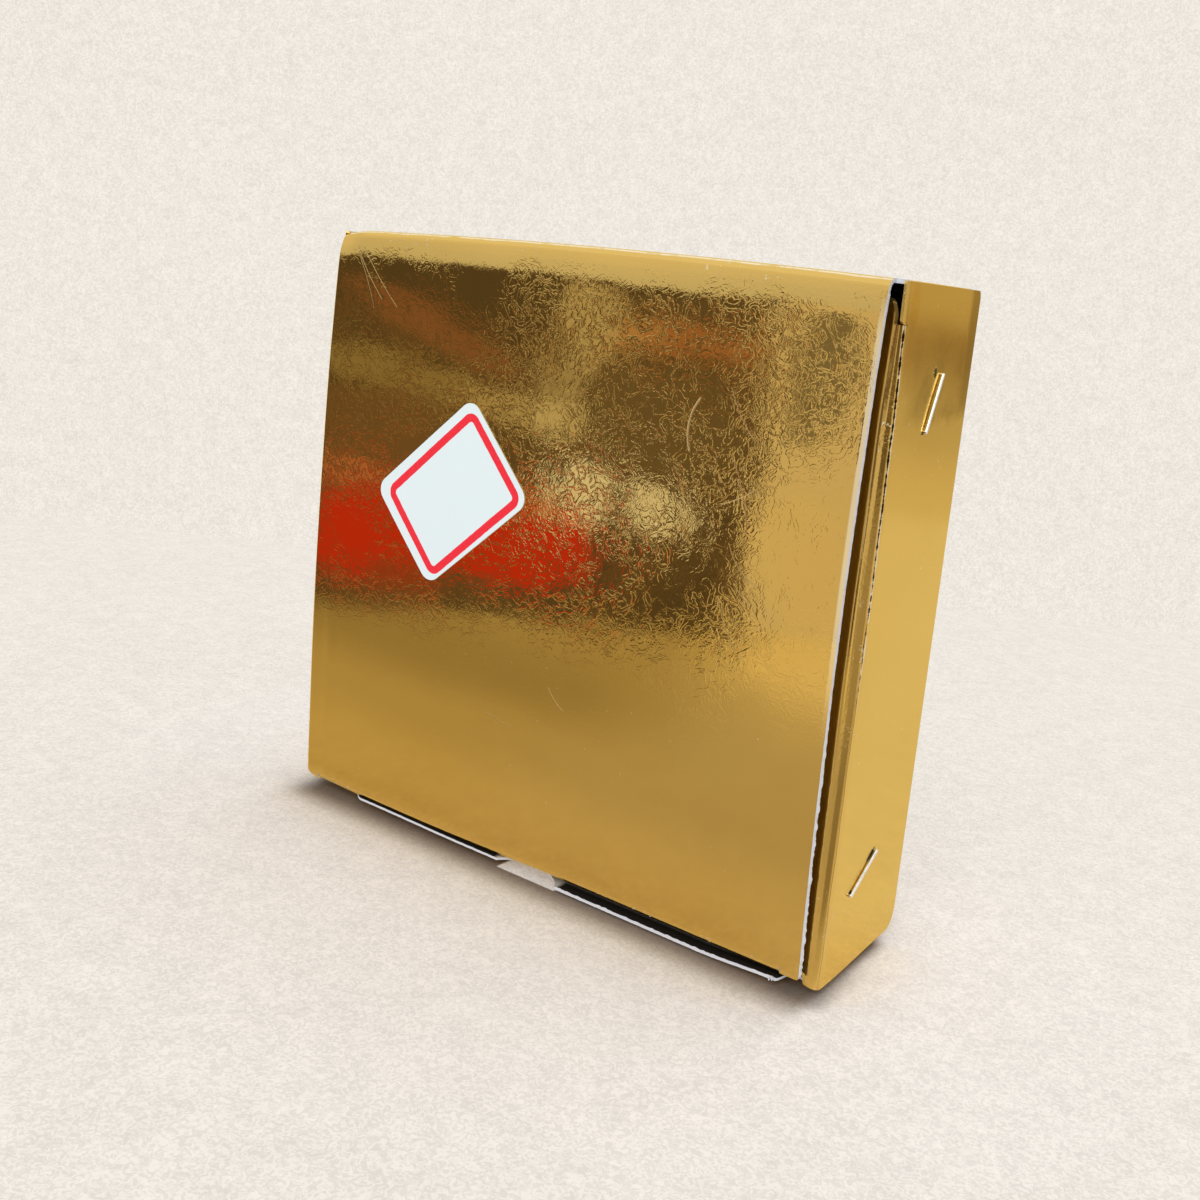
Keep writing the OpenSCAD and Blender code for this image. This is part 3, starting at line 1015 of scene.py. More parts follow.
        def fold(y: float, run: float) -> Vector:
            """Round the fold and along the side wall."""
            if run < arc:
                degrees = 90 * run / arc
                x, z = ring((s.tab_x, s.tab_fold), s.tab_fold, 270 + degrees)
            else:
                x, z = face, s.tab_fold + run - arc
            height = z if low else s.height - z
            point = Vector((side * x, y, height))
            sag = self.bow.bottom(Vector((side * s.tab_x, y, 0.0))).z if low else 0.0
            lift = self.bow.top(Vector((side * s.tab_x, y, s.height))).z - s.height if not low else 0.0
            return point + Vector((0.0, 0.0, (sag + lift) * smooth(arc + 1.0, 0.0, run)))

        level = "bottom" if low else "top"
        self._finish(Sheet(
            f"{level}_{word}_tab", steps(start, end, 1.0), 30, lambda u: 0.0, tip, fold,
            Vector((side, 0, -0.1 if low else 0.1))), Foil.HIDDEN, f"corner_tab_{level}_{word}")


@dataclass
class Lid:
    """The lid with its hinge crease, its tuck flap and the price label."""

    sizes: BoxSizes
    bow: Bow
    kit: Kit
    corner_left: float = 1.5
    corner_right: float = 0.4
    corner_short: float = 0.4
    tuck_inset: float = 3.2
    tuck_lean: float = 9.0
    tuck_length: float = 15.0
    tuck_corner: float = 8.0
    label_size: tuple[float, float] = (26.2, 19.6)
    label_corner: float = 2.3
    label_turn: float = 42.0
    label_at: tuple[float, float] = (-21.9, 58.4)

    def build(self) -> None:
        """Builds the lid from its hinge to the tip of its tuck flap."""
        self.hinge_crease()
        self.panel()
        self.tuck_crease()
        self.tuck_flap()
        self.price_label()

    def _edge_stations(self) -> list[float]:
        """Extra stations where the foil turns in at the lid's cut sides."""
        left, right = self.sizes.lid_x
        return [right - d for d in (0.1, 0.2, 0.32, 0.45, 0.6)] + [left + d for d in (0.12, 0.25, 0.4)]

    @property
    def _root_z(self) -> float:
        """Where the lid panel meets its crease."""
        return self.sizes.height - 2 * self.sizes.fold - self.sizes.play

    def _sheet_materials(self, wear: Foil) -> tuple[bpy.types.Material, ...]:
        """Foil, inner board and cut edge."""
        return self.kit.foils[wear], self.kit.inner, self.kit.edge

    def hinge_crease(self) -> None:
        """The rounded fold at the top with a short land on each side."""
        s = self.sizes
        arc = s.fold * math.pi / 2
        total = s.land + arc + (s.hinge[1] - self._root_z)

        def fold(x: float, run: float) -> Vector:
            """Off the top wall, round the fold and down to the lid."""
            if run < s.land:
                y, z = s.hinge[0] + s.land - run, s.height
            elif run < s.land + arc:
                y, z = ring(s.hinge, s.fold, 90 + 90 * (run - s.land) / arc)
            else:
                y, z = s.lid_y, s.hinge[1] - (run - s.land - arc)
            point = Vector((x, y, z))
            on_lid = smooth(0.0, s.land + arc, run)
            return self.bow.top(point).lerp(self.bow.lid(point), on_lid)

        left, right = s.lid_x
        sheet = Sheet("lid_fold", steps(left, right, 1.0, self._edge_stations()), 26,
                      lambda u: 0.0, lambda u: total, fold, Vector((0, -1, 1)))
        piece = sheet.build(self._sheet_materials(Foil.CREASE))
        dress(piece, "foil_board", None, "lid_crease")
        s.hinge[0] * MM
        s.lid_y * MM
        self._root_z * MM
        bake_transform(piece)

    def panel(self) -> None:
        """The lid's face, cut at both sides, with rounded lower corners."""
        s = self.sizes
        left, right = s.lid_x
        slits = left + self.tuck_inset - 0.2, right - self.tuck_inset + 0.2

        def low(x: float) -> float:
            """Lower edge: the tuck fold's line, and the corners that reach down beside it."""
            if slits[0] < x < slits[1]:
                return s.tuck[1]
            corner = corner_rise(x - left, self.corner_left) + corner_rise(right - x, self.corner_right)
            return s.board + s.lid_gap + self.corner_short + corner

        def fold(x: float, z: float) -> Vector:
            """On the lid's bowed face; the cut sides are a little uneven."""
            nearness = min(x - left, right - x)
            fray = 0.05 * ripple(z, 0.0, 1.3, 2.0 if x > 0 else 6.0) * smooth(0.6, 0.0, nearness)
            return self.bow.lid(Vector((x + fray, s.lid_y, z)))

        fine = corner_stations(left, self.corner_left, 1.0) + corner_stations(right, self.corner_right, -1.0)
        fine += self._edge_stations() + [slit + d for slit in slits for d in (-0.04, 0.04)]
        sheet = Sheet("lid_board", steps(left, right, 1.0, fine), 120, low, lambda u: self._root_z, fold,
                      Vector((0, -1, 0)))
        dress(sheet.build(self._sheet_materials(Foil.LID)), "foil_board", "lid", "lid_panel")

    def _tuck_point(self, x: float, degrees: float, run: float) -> Vector:
        """Point on the tuck fold's round, and on along the flap once it has turned."""
        s = self.sizes
        y, z = ring(s.tuck, s.fold, degrees)
        lean = math.radians(self.tuck_lean)
        base = self.bow.lid(Vector((x, s.lid_y, s.tuck[1])))
        shift = base - Vector((x, s.lid_y, s.tuck[1]))
        fade = smooth(3.0, 0.0, run)
        return Vector((x, y + run * math.cos(lean), z + run * math.sin(lean))) + shift * fade

    def tuck_crease(self) -> None:
        """The lid's lower fold."""
        s = self.sizes
        turn = 90.0 + self.tuck_lean
        arc = s.fold * math.radians(turn)
        left, right = s.lid_x[0] + self.tuck_inset, s.lid_x[1] - self.tuck_inset

        def fold(x: float, run: float) -> Vector:
            """Under the lid's edge and into the flap."""
            if run < arc:
                return self._tuck_point(x, 180 + turn * run / arc, 0.0)
            return self._tuck_point(x, 180 + turn, run - arc)

        sheet = Sheet("tuck_fold_strip", steps(left, right, 1.5), 16, lambda u: 0.0,
                      lambda u: arc + s.land, fold, Vector((0, -1, -1)))
        piece = sheet.build(self._sheet_materials(Foil.CREASE))
        dress(piece, "foil_board", None, "tuck_crease")
        tip = self._tuck_point(0.0, 180 + turn, s.land)
        s.lid_y * MM
        s.tuck[1] * MM
        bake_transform(piece)

    def tuck_flap(self) -> None:
        """The flap that goes in above the bottom wall."""
        s = self.sizes
        left, right = s.lid_x[0] + self.tuck_inset, s.lid_x[1] - self.tuck_inset

        def tip(x: float) -> float:
            """Free edge with its wide rounded corners."""
            return self.tuck_length - corner_rise(min(x - left, right - x), self.tuck_corner)

        fine = corner_stations(left, self.tuck_corner, 1.0) + corner_stations(right, self.tuck_corner, -1.0)
        sheet = Sheet("tuck_board", steps(left, right, 1.5, fine), 14, lambda u: s.land, tip,
                      lambda u, v: self._tuck_point(u, 270 + self.tuck_lean, v), Vector((0, 0, -1)))
        dress(sheet.build(self._sheet_materials(Foil.HIDDEN)), "foil_board", "tuck", "tuck_flap")

    def price_label(self) -> None:
        """The label, following the lid's bowed face."""
        s = self.sizes
        half_w, half_h = self.label_size[0] / 2, self.label_size[1] / 2
        turn = math.radians(self.label_turn)

        def edge(u: float) -> float:
            """Half the label's height at a place along it."""
            return half_h - corner_rise(half_w - abs(u), self.label_corner)

        def fold(u: float, v: float) -> Vector:
            """Turned on the lid and raised by its own thickness, its edges just lifting."""
            x = self.label_at[0] + u * math.cos(turn) - v * math.sin(turn)
            z = self.label_at[1] + u * math.sin(turn) + v * math.cos(turn)
            lift = 0.04 * smooth(1.2, 0.0, min(half_w - abs(u), half_h - abs(v)))
            return self.bow.lid(Vector((x, s.lid_y - s.label - lift, z)))

        fine = corner_stations(-half_w, self.label_corner, 1.0) + corner_stations(half_w, self.label_corner, -1.0)
        sheet = Sheet("price_sticker", steps(-half_w, half_w, 0.8, fine), 26, lambda u: -edge(u), edge,
                      fold, Vector((0, -1, 0)), thickness=s.label)
        paper = LabelFinish(self.label_size, (self.label_at[0], s.lid_y, self.label_at[1]), turn).material()
        dress(sheet.build((paper, paper, paper)), "label_paper", "lid", "price_label")


@dataclass
class Fibres:
    """Ragged pale fibres along two cut edges: the lid's right side and the bottom wall's front."""

    sizes: BoxSizes
    bow: Bow
    tray: Tray
    material: bpy.types.Material

    def build(self) -> None:
        """Builds both strips and the curl at the end of the lower one."""
        self.lid_side()
        self.bottom_front()
        self.curl()

    def _finish(self, sheet: Sheet, body: str) -> None:
        """Builds one strip on a body."""
        piece = sheet.build((self.material,) * 3)
        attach(piece, body)
        LOG.info("%s rides on %s: %d faces", piece.name, body, len(piece.data.polygons))

    def lid_side(self) -> None:
        """Cut edge of the lid, smooth above and torn to beads below."""
        s = self.sizes
        right = s.lid_x[1]

        def fold(z: float, share: float) -> Vector:
            """From the foil's edge inwards and out to the right."""
            torn = smooth(46.0, 26.0, z)
            beads = max(ripple(z, 0.0, 1.3, 3.1), 0.0) * 0.34 + max(ripple(z, 0.0, 0.5, 6.2), 0.0) * 0.22
            out = 0.10 + 0.05 * ripple(z, 0.0, 9.0, 1.7) + torn * (0.06 + beads) + 0.04 * ripple(z, 0.0, 0.8, 2.4)
            edge = self.bow.lid(Vector((right, s.lid_y, z)))
            return edge + Vector((max(out, 0.04) * (0.25 + 0.75 * share), 0.10 + 0.45 * share, 0.0))

        self._finish(Sheet("lid_fibres", steps(1.8, 97.4, 0.22), 4, lambda u: 0.0, lambda u: 1.0, fold,
                           Vector((1, -0.6, 0)), thickness=0.10), "lid")

    def bottom_front(self) -> None:
        """Front edge of the bottom wall, from the thumb notch to the right corner."""
        s = self.sizes
        first = self.tray.notch_width / 2 + 0.4

        def fold(x: float, share: float) -> Vector:
            """From the underside up the cut edge."""
            y = self.tray.front_edge(x)
            torn = 0.10 + 0.42 * max(ripple(x, 0.0, 1.2, 8.8), -0.2) + 0.22 * ripple(x, 0.0, 0.5, 4.2)
            base = self.bow.bottom(Vector((x, y, 0.0)))
            return base + Vector((0.0, -0.05 - 0.25 * max(torn, 0.0) * hump(-0.2, 1.2, share),
                                  -0.04 + (0.38 + torn * 0.6) * share))

        self._finish(Sheet("bottom_fibres", steps(first, s.tab_x - 4.9, 0.25), 4, lambda u: 0.0, lambda u: 1.0,
                           fold, Vector((0, -1, 0)), thickness=0.10), "tray")

    def curl(self) -> None:
        """A torn shred that curls up at the right end of the bottom wall's front edge."""
        x = 45.8
        base = self.bow.bottom(Vector((x, self.tray.front_edge(x), 0.25)))

        def fold(degrees: float, share: float) -> Vector:
            """Round the curl, which widens from its root."""
            angle = math.radians(degrees)
            radius = 0.30 + 0.22 * degrees / 300.0
            return base + Vector((radius * math.cos(angle) + 0.2, -0.15 - 0.35 * share, radius * math.sin(angle)))

        self._finish(Sheet("bottom_curl", steps(-60.0, 230.0, 12.0), 3, lambda u: 0.0, lambda u: 1.0, fold,
                           Vector((0, 0, 1)), thickness=0.12), "tray")


@dataclass
class DustFlaps:
    """The two flaps under the lid, folded in from the side walls."""

    sizes: BoxSizes
    bow: Bow
    kit: Kit
    shoulder_drop: float = 5.8
    peak_drop: float = 2.4
    shoulder_run: float = 1.8
    taper: float = 0.52
    rise: float = 3.5
    foot_run: float = 1.3
    foot_slope: float = 0.8
    foot_z: float = 0.3
    corner: float = 5.0
    set_back: float = 0.45

    def build(self) -> None:
        """Builds the crease and the flap of each side."""
        for side, word in ((-1.0, "left"), (1.0, "right")):
            self.crease(side, word)
            self.flap(side, word)

    def _materials(self, wear: Foil) -> tuple[bpy.types.Material, ...]:
        """Foil, inner board and an edge over which the foil was dragged by the cut."""
        return self.kit.foils[wear], self.kit.inner, self.kit.foils[Foil.CREASE]

    def crease(self, side: float, word: str) -> None:
        """The fold between the side wall and its dust flap."""
        s = self.sizes
        arc = s.fold * math.pi / 2
        total = s.land * 2 + arc

        def fold(z: float, run: float) -> Vector:
            """Off the side wall, round the fold and along the flap."""
            if run < s.land:
                x, y = s.side_x, s.dust[1] + s.land - run
            elif run < s.land + arc:
                x, y = ring(s.dust, s.fold, -90 * (run - s.land) / arc, 0.05)
            else:
                x, y = s.dust[0] - (run - s.land - arc), s.dust[1] - s.fold
            return self.bow.wall(Vector((side * x, y, z)), side)

        top = s.height - self.shoulder_drop
        sheet = Sheet(f"{word}_dust_fold_strip", steps(self.foot_z, top, 1.2), 18, lambda u: 0.0,
                      lambda u: total, fold, Vector((side, -1, 0)))
        piece = sheet.build(self._materials(Foil.CRACKED if side > 0 else Foil.CREASE))
        dress(piece, "foil_board", None, f"{word}_dust_crease")
        s.dust[1] * MM
        side * s.dust[0] * MM
        (s.dust[1] - s.fold) * MM
        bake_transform(piece)

    def flap(self, side: float, word: str) -> None:
        """The flap: shoulder and taper above, foot and relief below."""
        s = self.sizes
        peak = s.height - self.peak_drop
        shoulder = s.height - self.shoulder_drop

        def high(run: float) -> float:
            """Upper edge: up the shoulder, then down the taper, with a rounded tip."""
            if run < self.shoulder_run:
                return shoulder + (peak - shoulder) * math.sin(math.pi / 2 * run / self.shoulder_run)
            end = peak - self.taper * (run - self.shoulder_run)
            return end - corner_rise(s.dust_length - run, self.corner)

        def low(run: float) -> float:
            """Lower edge: the foot beside the crease, then the relief above the tuck flap."""
            step = smooth(self.foot_run, self.foot_run + self.foot_slope, run)
            return self.foot_z + (self.rise - self.foot_z) * step + corner_rise(s.dust_length - run, self.corner)

        def fold(run: float, z: float) -> Vector:
            """Along the inside of the lid; the root goes with the fold's bow."""
            point = Vector((side * (s.dust[0] - run), s.dust[1] - s.fold, z))
            moved = self.bow.wall(point, side)
            back = self.set_back * smooth(0.5, 2.6, run) + 0.2 * smooth(3.0, s.dust_length, run)
            return moved + Vector((0.0, back, 0.0))

        fine = [0.7, 0.9, 1.1, 1.3, 1.5, 1.7, 1.9, 2.1, 2.4] + corner_stations(s.dust_length, self.corner, -1.0)
        sheet = Sheet(f"{word}_dust_board", steps(s.land, s.dust_length, 1.5, fine), 70, low, high, fold,
                      Vector((0, -1, 0)))
        dress(sheet.build(self._materials(Foil.WALL)), "foil_board", f"dust_{word}", f"{word}_dust_flap")


@dataclass
class Staples:
    """The four wire staples keep their shape and get their wire's finish."""

    nodes: Sequence[str] = ("staple_upper_left", "staple_lower_left", "staple_upper_right", "staple_lower_right")

    def build(self) -> None:
        """Gives each staple its material."""
        wire = StapleFinish().material()
        for name in self.nodes:
            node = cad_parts[name]
            node.data.materials.clear()
            node.data.materials.append(wire)
            LOG.info("%s dressed in wire", name)


@dataclass(frozen=True)
class Patch:
    """A soft patch of colour on the card that the foil mirrors."""

    across: float
    up: float
    half_width: float
    half_height: float
    colour: Colour
    strength: float = 1.0
    slope: float = 0.0


@dataclass
class Studio:
    """Pale floor and surround, soft light, and what the foil mirrors."""

    floor_z: float = -1.2
    pale: Colour = (0.868, 0.812, 0.738)
    backdrop_turn: float = 34.4
    card_foot: tuple[float, float] = (-148.0, -101.0)
    card_turn: float = -36.34
    card_ends: tuple[float, float] = (-110.0, 174.0)
    card_top: float = 112.0
    patches: tuple[Patch, ...] = (
        Patch(29.0, 93.0, 38.0, 11.0, (0.100, 0.078, 0.060), 0.9, 0.04),
        Patch(26.0, 80.0, 26.0, 4.9, (0.30, 0.145, 0.10), 0.75, -0.35),
        Patch(24.0, 64.0, 39.0, 4.9, (0.30, 0.25, 0.165), 0.95, -0.15),
        Patch(49.0, 59.6, 15.0, 5.0, (0.46, 0.41, 0.32), 0.9, -0.13),
        Patch(63.0, 57.9, 7.0, 7.0, (0.60, 0.57, 0.52), 0.9, -0.07),
        Patch(15.0, 48.2, 27.0, 11.5, (0.20, 0.125, 0.085), 0.8, -0.08),
        Patch(5.0, 36.5, 14.0, 3.8, (0.52, 0.20, 0.14), 0.9, -0.11),
        Patch(63.0, 31.5, 13.0, 3.7, (0.55, 0.24, 0.14), 0.9, -0.19),
        Patch(10.0, 19.0, 22.0, 12.6, (0.58, 0.040, 0.018), 1.0, -0.07),
        Patch(51.0, 19.5, 26.0, 11.4, (0.58, 0.040, 0.018), 1.0),
        Patch(22.0, 8.2, 11.0, 5.0, (0.24, 0.080, 0.045), 0.8, -0.09),
        Patch(95.0, 84.0, 27.0, 5.5, (0.40, 0.195, 0.12), 0.95, -0.05),
        Patch(78.0, 85.3, 9.0, 4.9, (0.52, 0.33, 0.22), 0.9, -0.03),
        Patch(97.0, 94.7, 21.0, 4.3, (0.13, 0.105, 0.085), 0.9, -0.03),
        Patch(93.0, 60.2, 21.0, 13.7, (0.17, 0.135, 0.10), 0.85, -0.08),
        Patch(67.0, 87.2, 7.0, 15.8, (0.54, 0.49, 0.42), 0.95, -0.02),
        Patch(63.0, 70.6, 5.0, 8.3, (0.44, 0.405, 0.34), 0.85, -0.05),
        Patch(72.0, 38.1, 9.0, 8.6, (0.82, 0.88, 1.10), 1.0, -0.11),
        Patch(93.4, 34.2, 8.4, 8.4, (0.80, 0.83, 1.0), 1.0, -0.12),
        Patch(148.0, 50.0, 27.0, 150.0, (0.73, 0.670, 0.61), 1.0),
        Patch(141.0, 22.4, 17.0, 20.7, (0.78, 0.70, 0.575), 0.8, -0.15),
        Patch(135.0, 78.6, 8.0, 19.6, (0.20, 0.18, 0.155), 0.95, -0.09),
    )

    def build(self) -> None:
        """Sets the floor, the world, the lights and the camera."""
        self.floor()
        self.backdrop()
        self.card()
        self.surround()
        self.world()
        self.lights()
        self.camera()

    def _seen(self, bench: Bench, name: str) -> Wire:
        """One of the Light Path's outputs."""
        return bench.wire(bench.add("ShaderNodeLightPath"), name)

    def floor(self) -> None:
        """A pale sheet of paper-like floor that fades into the surround far away, with painted light, shadow and
        reflections round the box.
        """
        bm = bmesh.new()
        bmesh.ops.create_grid(bm, x_segments=1, y_segments=1, size=3.0)
        bmesh.ops.translate(bm, verts=bm.verts, vec=(0, 0, self.floor_z * MM))
        mesh = bpy.data.meshes.new("floor")
        bm.to_mesh(mesh)
        bm.free()
        floor = bpy.data.objects.new("floor", mesh)
        bpy.context.scene.collection.objects.link(floor)
        material, bench = new_material("floor_paper")
        at = bench.place()
        x, y, _ = bench.split(at)
        tone = self.paper(bench, at)
        aside, ahead = (abs(x) - 52.5).larger(0.0), (abs(y) - 13.3).larger(0.0)
        apart = (aside * aside + ahead * ahead) ** 0.5
        # Painted light: near the box the floor is painted lighter and bluer, against the shade and gold bounce there.
        tone = bench.mix(apart.step(90.0, 8.0), tone, bench.stretch(tone, (1.05, 1.065, 1.11)))
        # Painted reflection: seen only in the foil, the floor is painted darker and warmer in front, with a dark
        # patch off the front right.
        mirrored = self._seen(bench, "Is Glossy Ray") * y.step(-14.0, -22.0)
        left = x.step(0.0, -60.0)
        dim = 0.225 + y.step(-32.0, -58.0) * 0.14 + left * (y.step(-62.0, -90.0) * 0.19 + 0.03)
        dim = dim - y.step(-95.0, -135.0) * 0.10 - y.step(-120.0, -170.0) * x.step(-60.0, -25.0) * 0.60
        tone = bench.mix(mirrored * dim, tone, (0.03, 0.012, 0.0))
        tone = bench.mix(mirrored * (0.34 + left * 0.40), tone, bench.stretch(tone, (1.0, 0.88, 0.52)))
        bearing = (x - 52.0).bearing(y + 12.0)
        shaded = bearing.step(-112.0, -106.0) * bearing.step(-40.0, -52.0) * y.step(-20.0, -44.0)
        tone = bench.mix(mirrored * shaded * 0.6, tone, (0.15, 0.11, 0.07))
        # Painted shadow: seen by the camera, the floor is painted dark just in front of the box and at its right
        # front corner, less in the thumb notch.
        front = -13.5 - y
        painted_shadow = (front.step(7.5, -0.5) * 0.72 + front.step(26.0, 0.0) * 0.12) * x.step(-57.0, -49.0)
        painted_shadow = painted_shadow * x.step(54.0, 50.5) * y.step(12.0, 8.0)
        corner = (x - 52.7).step(3.2, 0.0) * x.step(50.5, 54.0) * y.step(6.0, -12.0) * y.step(-17.0, -13.0)
        notch = abs(x).step(6.3, 5.7) * y.step(-13.6, -13.2)
        painted_shadow = painted_shadow * (1 - notch * 0.9)
        seen = self._seen(bench, "Is Camera Ray")
        tone = bench.mix((painted_shadow + corner * 0.5) * seen, tone, (0.10, 0.055, 0.02))
        relief = bench.grain(at, 1.1, 2.0, 0.6, 1.5) * 0.08
        diffuse = bench.add("ShaderNodeBsdfDiffuse", None, {"Color": tone, "Normal": bench.bump(relief)})
        far_glow = bench.add("ShaderNodeEmission", None, {"Color": tone, "Strength": 1.0})
        # Painted light: the floor inside the thumb notch glows mid-grey; further out it glows evenly to fade into the
        # surround.
        away = (apart.step(0.0, 14.0) * 0.40 + apart.step(14.0, 110.0) * 0.60).larger(notch * 0.30)
        mixed = bench.add("ShaderNodeMixShader", None, {0: away, 1: bench.wire(diffuse), 2: bench.wire(far_glow)})
        bench.add("ShaderNodeOutputMaterial", None, {"Surface": bench.wire(mixed)})
        mesh.materials.append(material)

    def paper(self, bench: Bench, at: Wire) -> Wire:
        """Colour of the pale paper, with its faint clouds and fine squiggles."""
        clouds = bench.grain(at, 60.0, 4.0, 0.6)
        squiggles = bench.grain(at, 0.95, 3.0, 0.65, 1.6).step(0.40, 0.60)
        blots = bench.grain(at, 5.0, 4.0, 0.65).step(0.3, 0.7)
        share = clouds * 0.18 + squiggles * 0.60 + blots * 0.22
        return bench.mix(share, tuple(1.125 * c for c in self.pale), tuple(0.860 * c for c in self.pale))

    def backdrop(self) -> None:
        """An upright sheet of the same paper behind, which only the camera sees."""
        bm = bmesh.new()
        bmesh.ops.create_grid(bm, x_segments=1, y_segments=1, size=1.6)
        bmesh.ops.rotate(bm, matrix=Matrix.Rotation(math.radians(90), 3, "X"), verts=bm.verts)
        mesh = bpy.data.meshes.new("backdrop")
        bm.to_mesh(mesh)
        bm.free()
        sheet = bpy.data.objects.new("backdrop", mesh)
        sheet.location = (-0.12, 0.18, 0.0)
        sheet.rotation_euler = (0.0, 0.0, math.radians(self.backdrop_turn))
        bpy.context.scene.collection.objects.link(sheet)
        material, bench = new_material("backdrop_paper")
        tone = self.paper(bench, bench.place())
        glow = bench.add("ShaderNodeEmission", None, {"Color": tone, "Strength": 1.0})
        bench.add("ShaderNodeOutputMaterial", None, {"Surface": bench.wire(glow)})
        mesh.materials.append(material)
        sheet.visible_glossy = sheet.visible_diffuse = sheet.visible_shadow = False
        sheet.visible_transmission = sheet.visible_volume_scatter = False

    def _glossy_only(self, piece: bpy.types.Object) -> None:
        """Leaves a card in reflections alone."""
        piece.visible_camera = piece.visible_diffuse = piece.visible_shadow = False
        piece.visible_transmission = piece.visible_volume_scatter = False

    def card(self) -> None:
        """A dark upright card in front, to the left, with soft patches, that the lid mirrors."""
        first, last = self.card_ends
        bm = bmesh.new()
        bmesh.ops.create_grid(bm, x_segments=1, y_segments=1, size=0.5)
        bmesh.ops.scale(bm, vec=((last - first) * MM, self.card_top * MM, 1), verts=bm.verts)
        bmesh.ops.rotate(bm, matrix=Matrix.Rotation(math.radians(90), 3, "X"), verts=bm.verts)
        bmesh.ops.translate(bm, verts=bm.verts, vec=((first + last) / 2 * MM, 0.0, (self.card_top / 2 - 1.0) * MM))
        mesh = bpy.data.meshes.new("brown_card")
        bm.to_mesh(mesh)
        bm.free()
        card = bpy.data.objects.new("brown_card", mesh)
        card.location = (self.card_foot[0] * MM, self.card_foot[1] * MM, 0.0)
        card.rotation_euler = (0.0, 0.0, math.radians(self.card_turn))
        bpy.context.scene.collection.objects.link(card)
        material, bench = new_material("brown_card")
        at = bench.place()
        across, _, up = bench.split(at)
        tone: Paint = bench.mix(bench.grain(at, 14.0, 4.0, 0.65).step(0.3, 0.7), (0.085, 0.066, 0.050), (0.165, 0.118, 0.083))
        wander = (bench.grain(at, 8.0, 3.0, 0.6) - 0.5) * 0.34
        for patch in self.patches:
            aside = across - patch.across
            away = (abs(aside * (1 / patch.half_width)) ** 3
                    + abs((up - patch.up - aside * patch.slope) * (1 / patch.half_height)) ** 3) ** (1 / 3)
            tone = bench.mix((away + wander).step(1.06, 0.92) * patch.strength, tone, patch.colour)
        glow = bench.add("ShaderNodeEmission", None, {"Color": tone, "Strength": 1.0})
        clear = bench.add("ShaderNodeBsdfTransparent")
        edge = (up + wander * 8.0).step(self.card_top - 2.0, self.card_top - 6.0)
        mixed = bench.add("ShaderNodeMixShader", None, {0: edge, 1: bench.wire(clear), 2: bench.wire(glow)})
        bench.add("ShaderNodeOutputMaterial", None, {"Surface": bench.wire(mixed)})
        mesh.materials.append(material)
        self._glossy_only(card)

    def surround(self) -> None:
        """A round wall that the foil mirrors: tan behind, pale above, and dark in front."""
        bm = bmesh.new()
        bmesh.ops.create_cone(bm, segments=64, radius1=0.46, radius2=0.46, depth=0.40, cap_ends=False)
        bmesh.ops.translate(bm, verts=bm.verts, vec=(0, 0, 0.20))
        mesh = bpy.data.meshes.new("round_wall")
        bm.to_mesh(mesh)
        bm.free()
        wall = bpy.data.objects.new("round_wall", mesh)
        bpy.context.scene.collection.objects.link(wall)
        material, bench = new_material("round_wall")
        at = bench.place()
        x, y, up = bench.split(at)
        bearing = x.bearing(y)
        level = up + (bench.grain(bench.stretch(at, (1.0, 1.0, 0.3)), 120.0, 2.0) - 0.5) * 30.0
        tone = bench.mix(level.step(0.0, 110.0), (0.76, 0.70, 0.60), (0.66, 0.58, 0.47))
        tone = bench.mix(level.step(100.0, 135.0), tone, (0.70, 0.71, 0.74))
        rear = bench.mix(level.step(12.0, 45.0), (0.76, 0.68, 0.54), (0.60, 0.53, 0.42))
        rear = bench.mix(level.step(52.0, 78.0), rear, (0.40, 0.30, 0.19))
        rear = bench.mix(level.step(84.0, 100.0), rear, (0.60, 0.50, 0.34))
        tone = bench.mix(bearing.step(10.0, 40.0) * bearing.step(110.0, 90.0), tone, rear)
        dark_bay = bearing.step(-104.0, -98.0) * bearing.step(-38.0, -56.0) * level.step(290.0, 210.0)
        tone = bench.mix(dark_bay, tone, (0.15, 0.11, 0.07))
        tone = bench.mix(level.step(130.0, 260.0) * (1 - dark_bay), tone, (0.88, 0.85, 0.82))
        glow = bench.add("ShaderNodeEmission", None, {"Color": tone, "Strength": 1.0})
        bench.add("ShaderNodeOutputMaterial", None, {"Surface": bench.wire(glow)})
        mesh.materials.append(material)
        self._glossy_only(wall)

    def world(self) -> None:
        """Even soft light all round; the camera sees the pale surround."""
        world = bpy.data.worlds.new("studio")
        bpy.context.scene.world = world
        world.use_nodes = True
        bench = Bench(world.node_tree)
        strength = self._seen(bench, "Is Glossy Ray") * 0.38 + 0.60
        light = bench.add("ShaderNodeBackground", None, {"Color": (1.0, 0.995, 0.99), "Strength": strength})
        seen = bench.add("ShaderNodeBackground", None, {"Color": self.pale, "Strength": 1.0})
        mixed = bench.add("ShaderNodeMixShader", None, {
            0: self._seen(bench, "Is Camera Ray"), 1: bench.wire(light), 2: bench.wire(seen)})
        bench.add("ShaderNodeOutputWorld", None, {"Surface": bench.wire(mixed)})

    def _lamp(self, name: str, at: Colour, size: float, watts: float, glossy: bool = True) -> None:
        """A soft square lamp that looks at the box; the foil mirrors it unless glossy is off."""
        data = bpy.data.lights.new(name, "AREA")
        data.size, data.energy, data.color = size, watts, (1.0, 0.99, 0.98)
        lamp = bpy.data.objects.new(name, data)
        lamp.location = at
        aim = Vector((0, 0, 0.05)) - Vector(at)
        lamp.rotation_euler = aim.to_track_quat("-Z", "Y").to_euler()
        lamp.visible_camera = False
        lamp.visible_glossy = glossy
        bpy.context.scene.collection.objects.link(lamp)

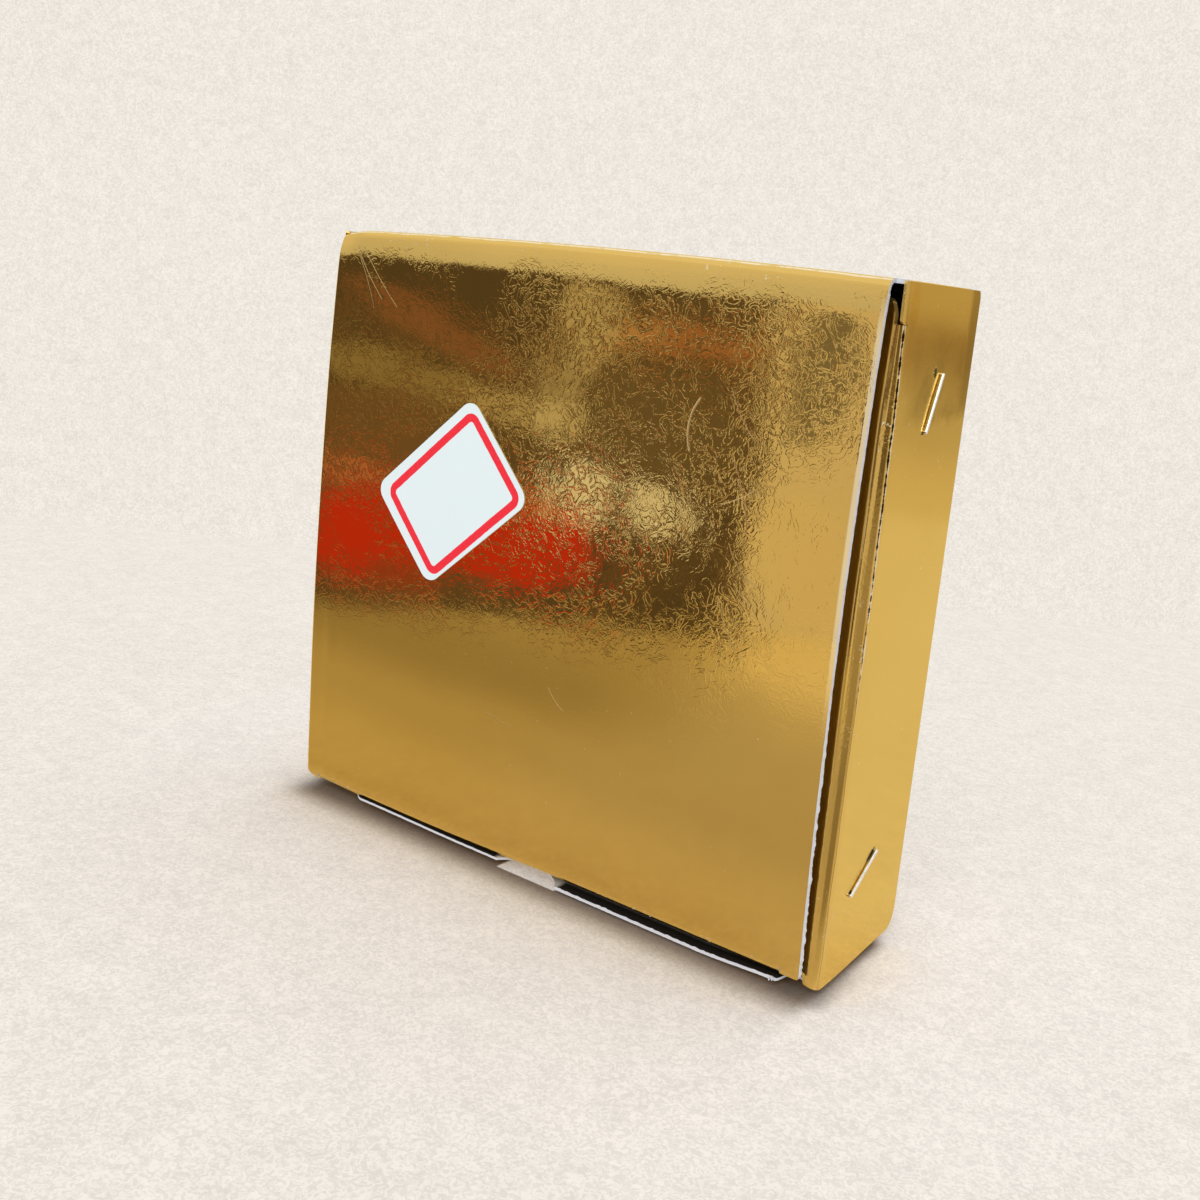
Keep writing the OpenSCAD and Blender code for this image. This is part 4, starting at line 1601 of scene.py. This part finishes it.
    def lights(self) -> None:
        """A broad lamp above and behind, and a weaker one from the left."""
        self._lamp("above_behind", (0.25, 0.55, 1.0), 0.9, 3.4, False)
        self._lamp("front", (0.35, -1.1, 0.9), 0.8, 7.0)

    def camera(self) -> None:
        """The camera at the photograph's place and angle."""
        data = bpy.data.cameras.new("camera")
        data.sensor_width, data.lens = 36.0, 39.73
        data.shift_x, data.shift_y = -0.0233, -0.0828
        data.clip_start, data.clip_end = 0.01, 20.0
        camera = bpy.data.objects.new("camera", data)
        right = Vector((0.811911, 0.575286, 0.099225))
        down = Vector((0.175287, -0.078112, -0.981414))
        ahead = Vector((-0.556843, 0.814214, -0.164261))
        turn = Matrix((right, -down, -ahead)).transposed().to_4x4()
        camera.matrix_world = Matrix.Translation((0.122708, -0.174147, 0.096062)) @ turn
        bpy.context.scene.collection.objects.link(camera)
        bpy.context.scene.camera = camera


LID_SCRATCHES = (
    Scratch((23.7, 80.6), (22.7, 72.6), 1.1, 0.24),
    Scratch((28.6, 82.4), (33.2, 75.6), 0.4, 0.10),
    Scratch((30.0, 72.6), (33.6, 62.4), -0.6, 0.10),
    Scratch((28.8, 66.0), (34.4, 69.2), 0.3, 0.08),
    Scratch((30.2, 52.6), (33.8, 45.6), 0.4, 0.09),
    Scratch((-48.0, 97.0), (-41.2, 88.6), 0.3, 0.09),
    Scratch((-46.2, 96.6), (-37.6, 87.6), 0.2, 0.08),
    Scratch((-47.2, 95.2), (-43.0, 86.8), -0.3, 0.06),
    Scratch((31.0, 60.6), (36.2, 55.4), 0.8, 0.10),
    Scratch((32.6, 55.0), (35.4, 52.6), 0.2, 0.10),
    Scratch((1.5, 31.6), (4.8, 28.6), 0.3, 0.07),
    Scratch((-11.0, 24.2), (-5.4, 23.2), 0.1, 0.07),
)


def main() -> None:
    logging.basicConfig(level=logging.INFO, format="%(message)s")
    bpy.context.scene.view_settings.view_transform = "Standard"
    sizes = BoxSizes()
    bow = Bow(sizes)
    foils = {wear: FoilFinish(wear, scratches=LID_SCRATCHES if wear is Foil.LID else ()).material()
             for wear in Foil}
    inner = BoardFinish("inner_board", (0.66, 0.64, 0.60), (0.52, 0.50, 0.46), 0.9, 0.03).material()
    edge = BoardFinish("cut_edge", (0.86, 0.88, 0.95), (0.66, 0.68, 0.76), 0.35, 0.10).material()
    # Inner board with painted shade along its front, for the bottom wall.
    painted_shade = BoardFinish("painted_shade_board", (0.66, 0.64, 0.60), (0.52, 0.50, 0.46), 0.9, 0.03, True).material()
    kit = Kit(foils, inner, painted_shade, edge)
    tray = Tray(sizes, bow, kit)
    for part in (tray, Lid(sizes, bow, kit), DustFlaps(sizes, bow, kit), Fibres(sizes, bow, tray, edge),
                 Staples(), Studio()):
        part.build()
        LOG.info("%s done", type(part).__name__)


if __name__ == "__main__":
    main()
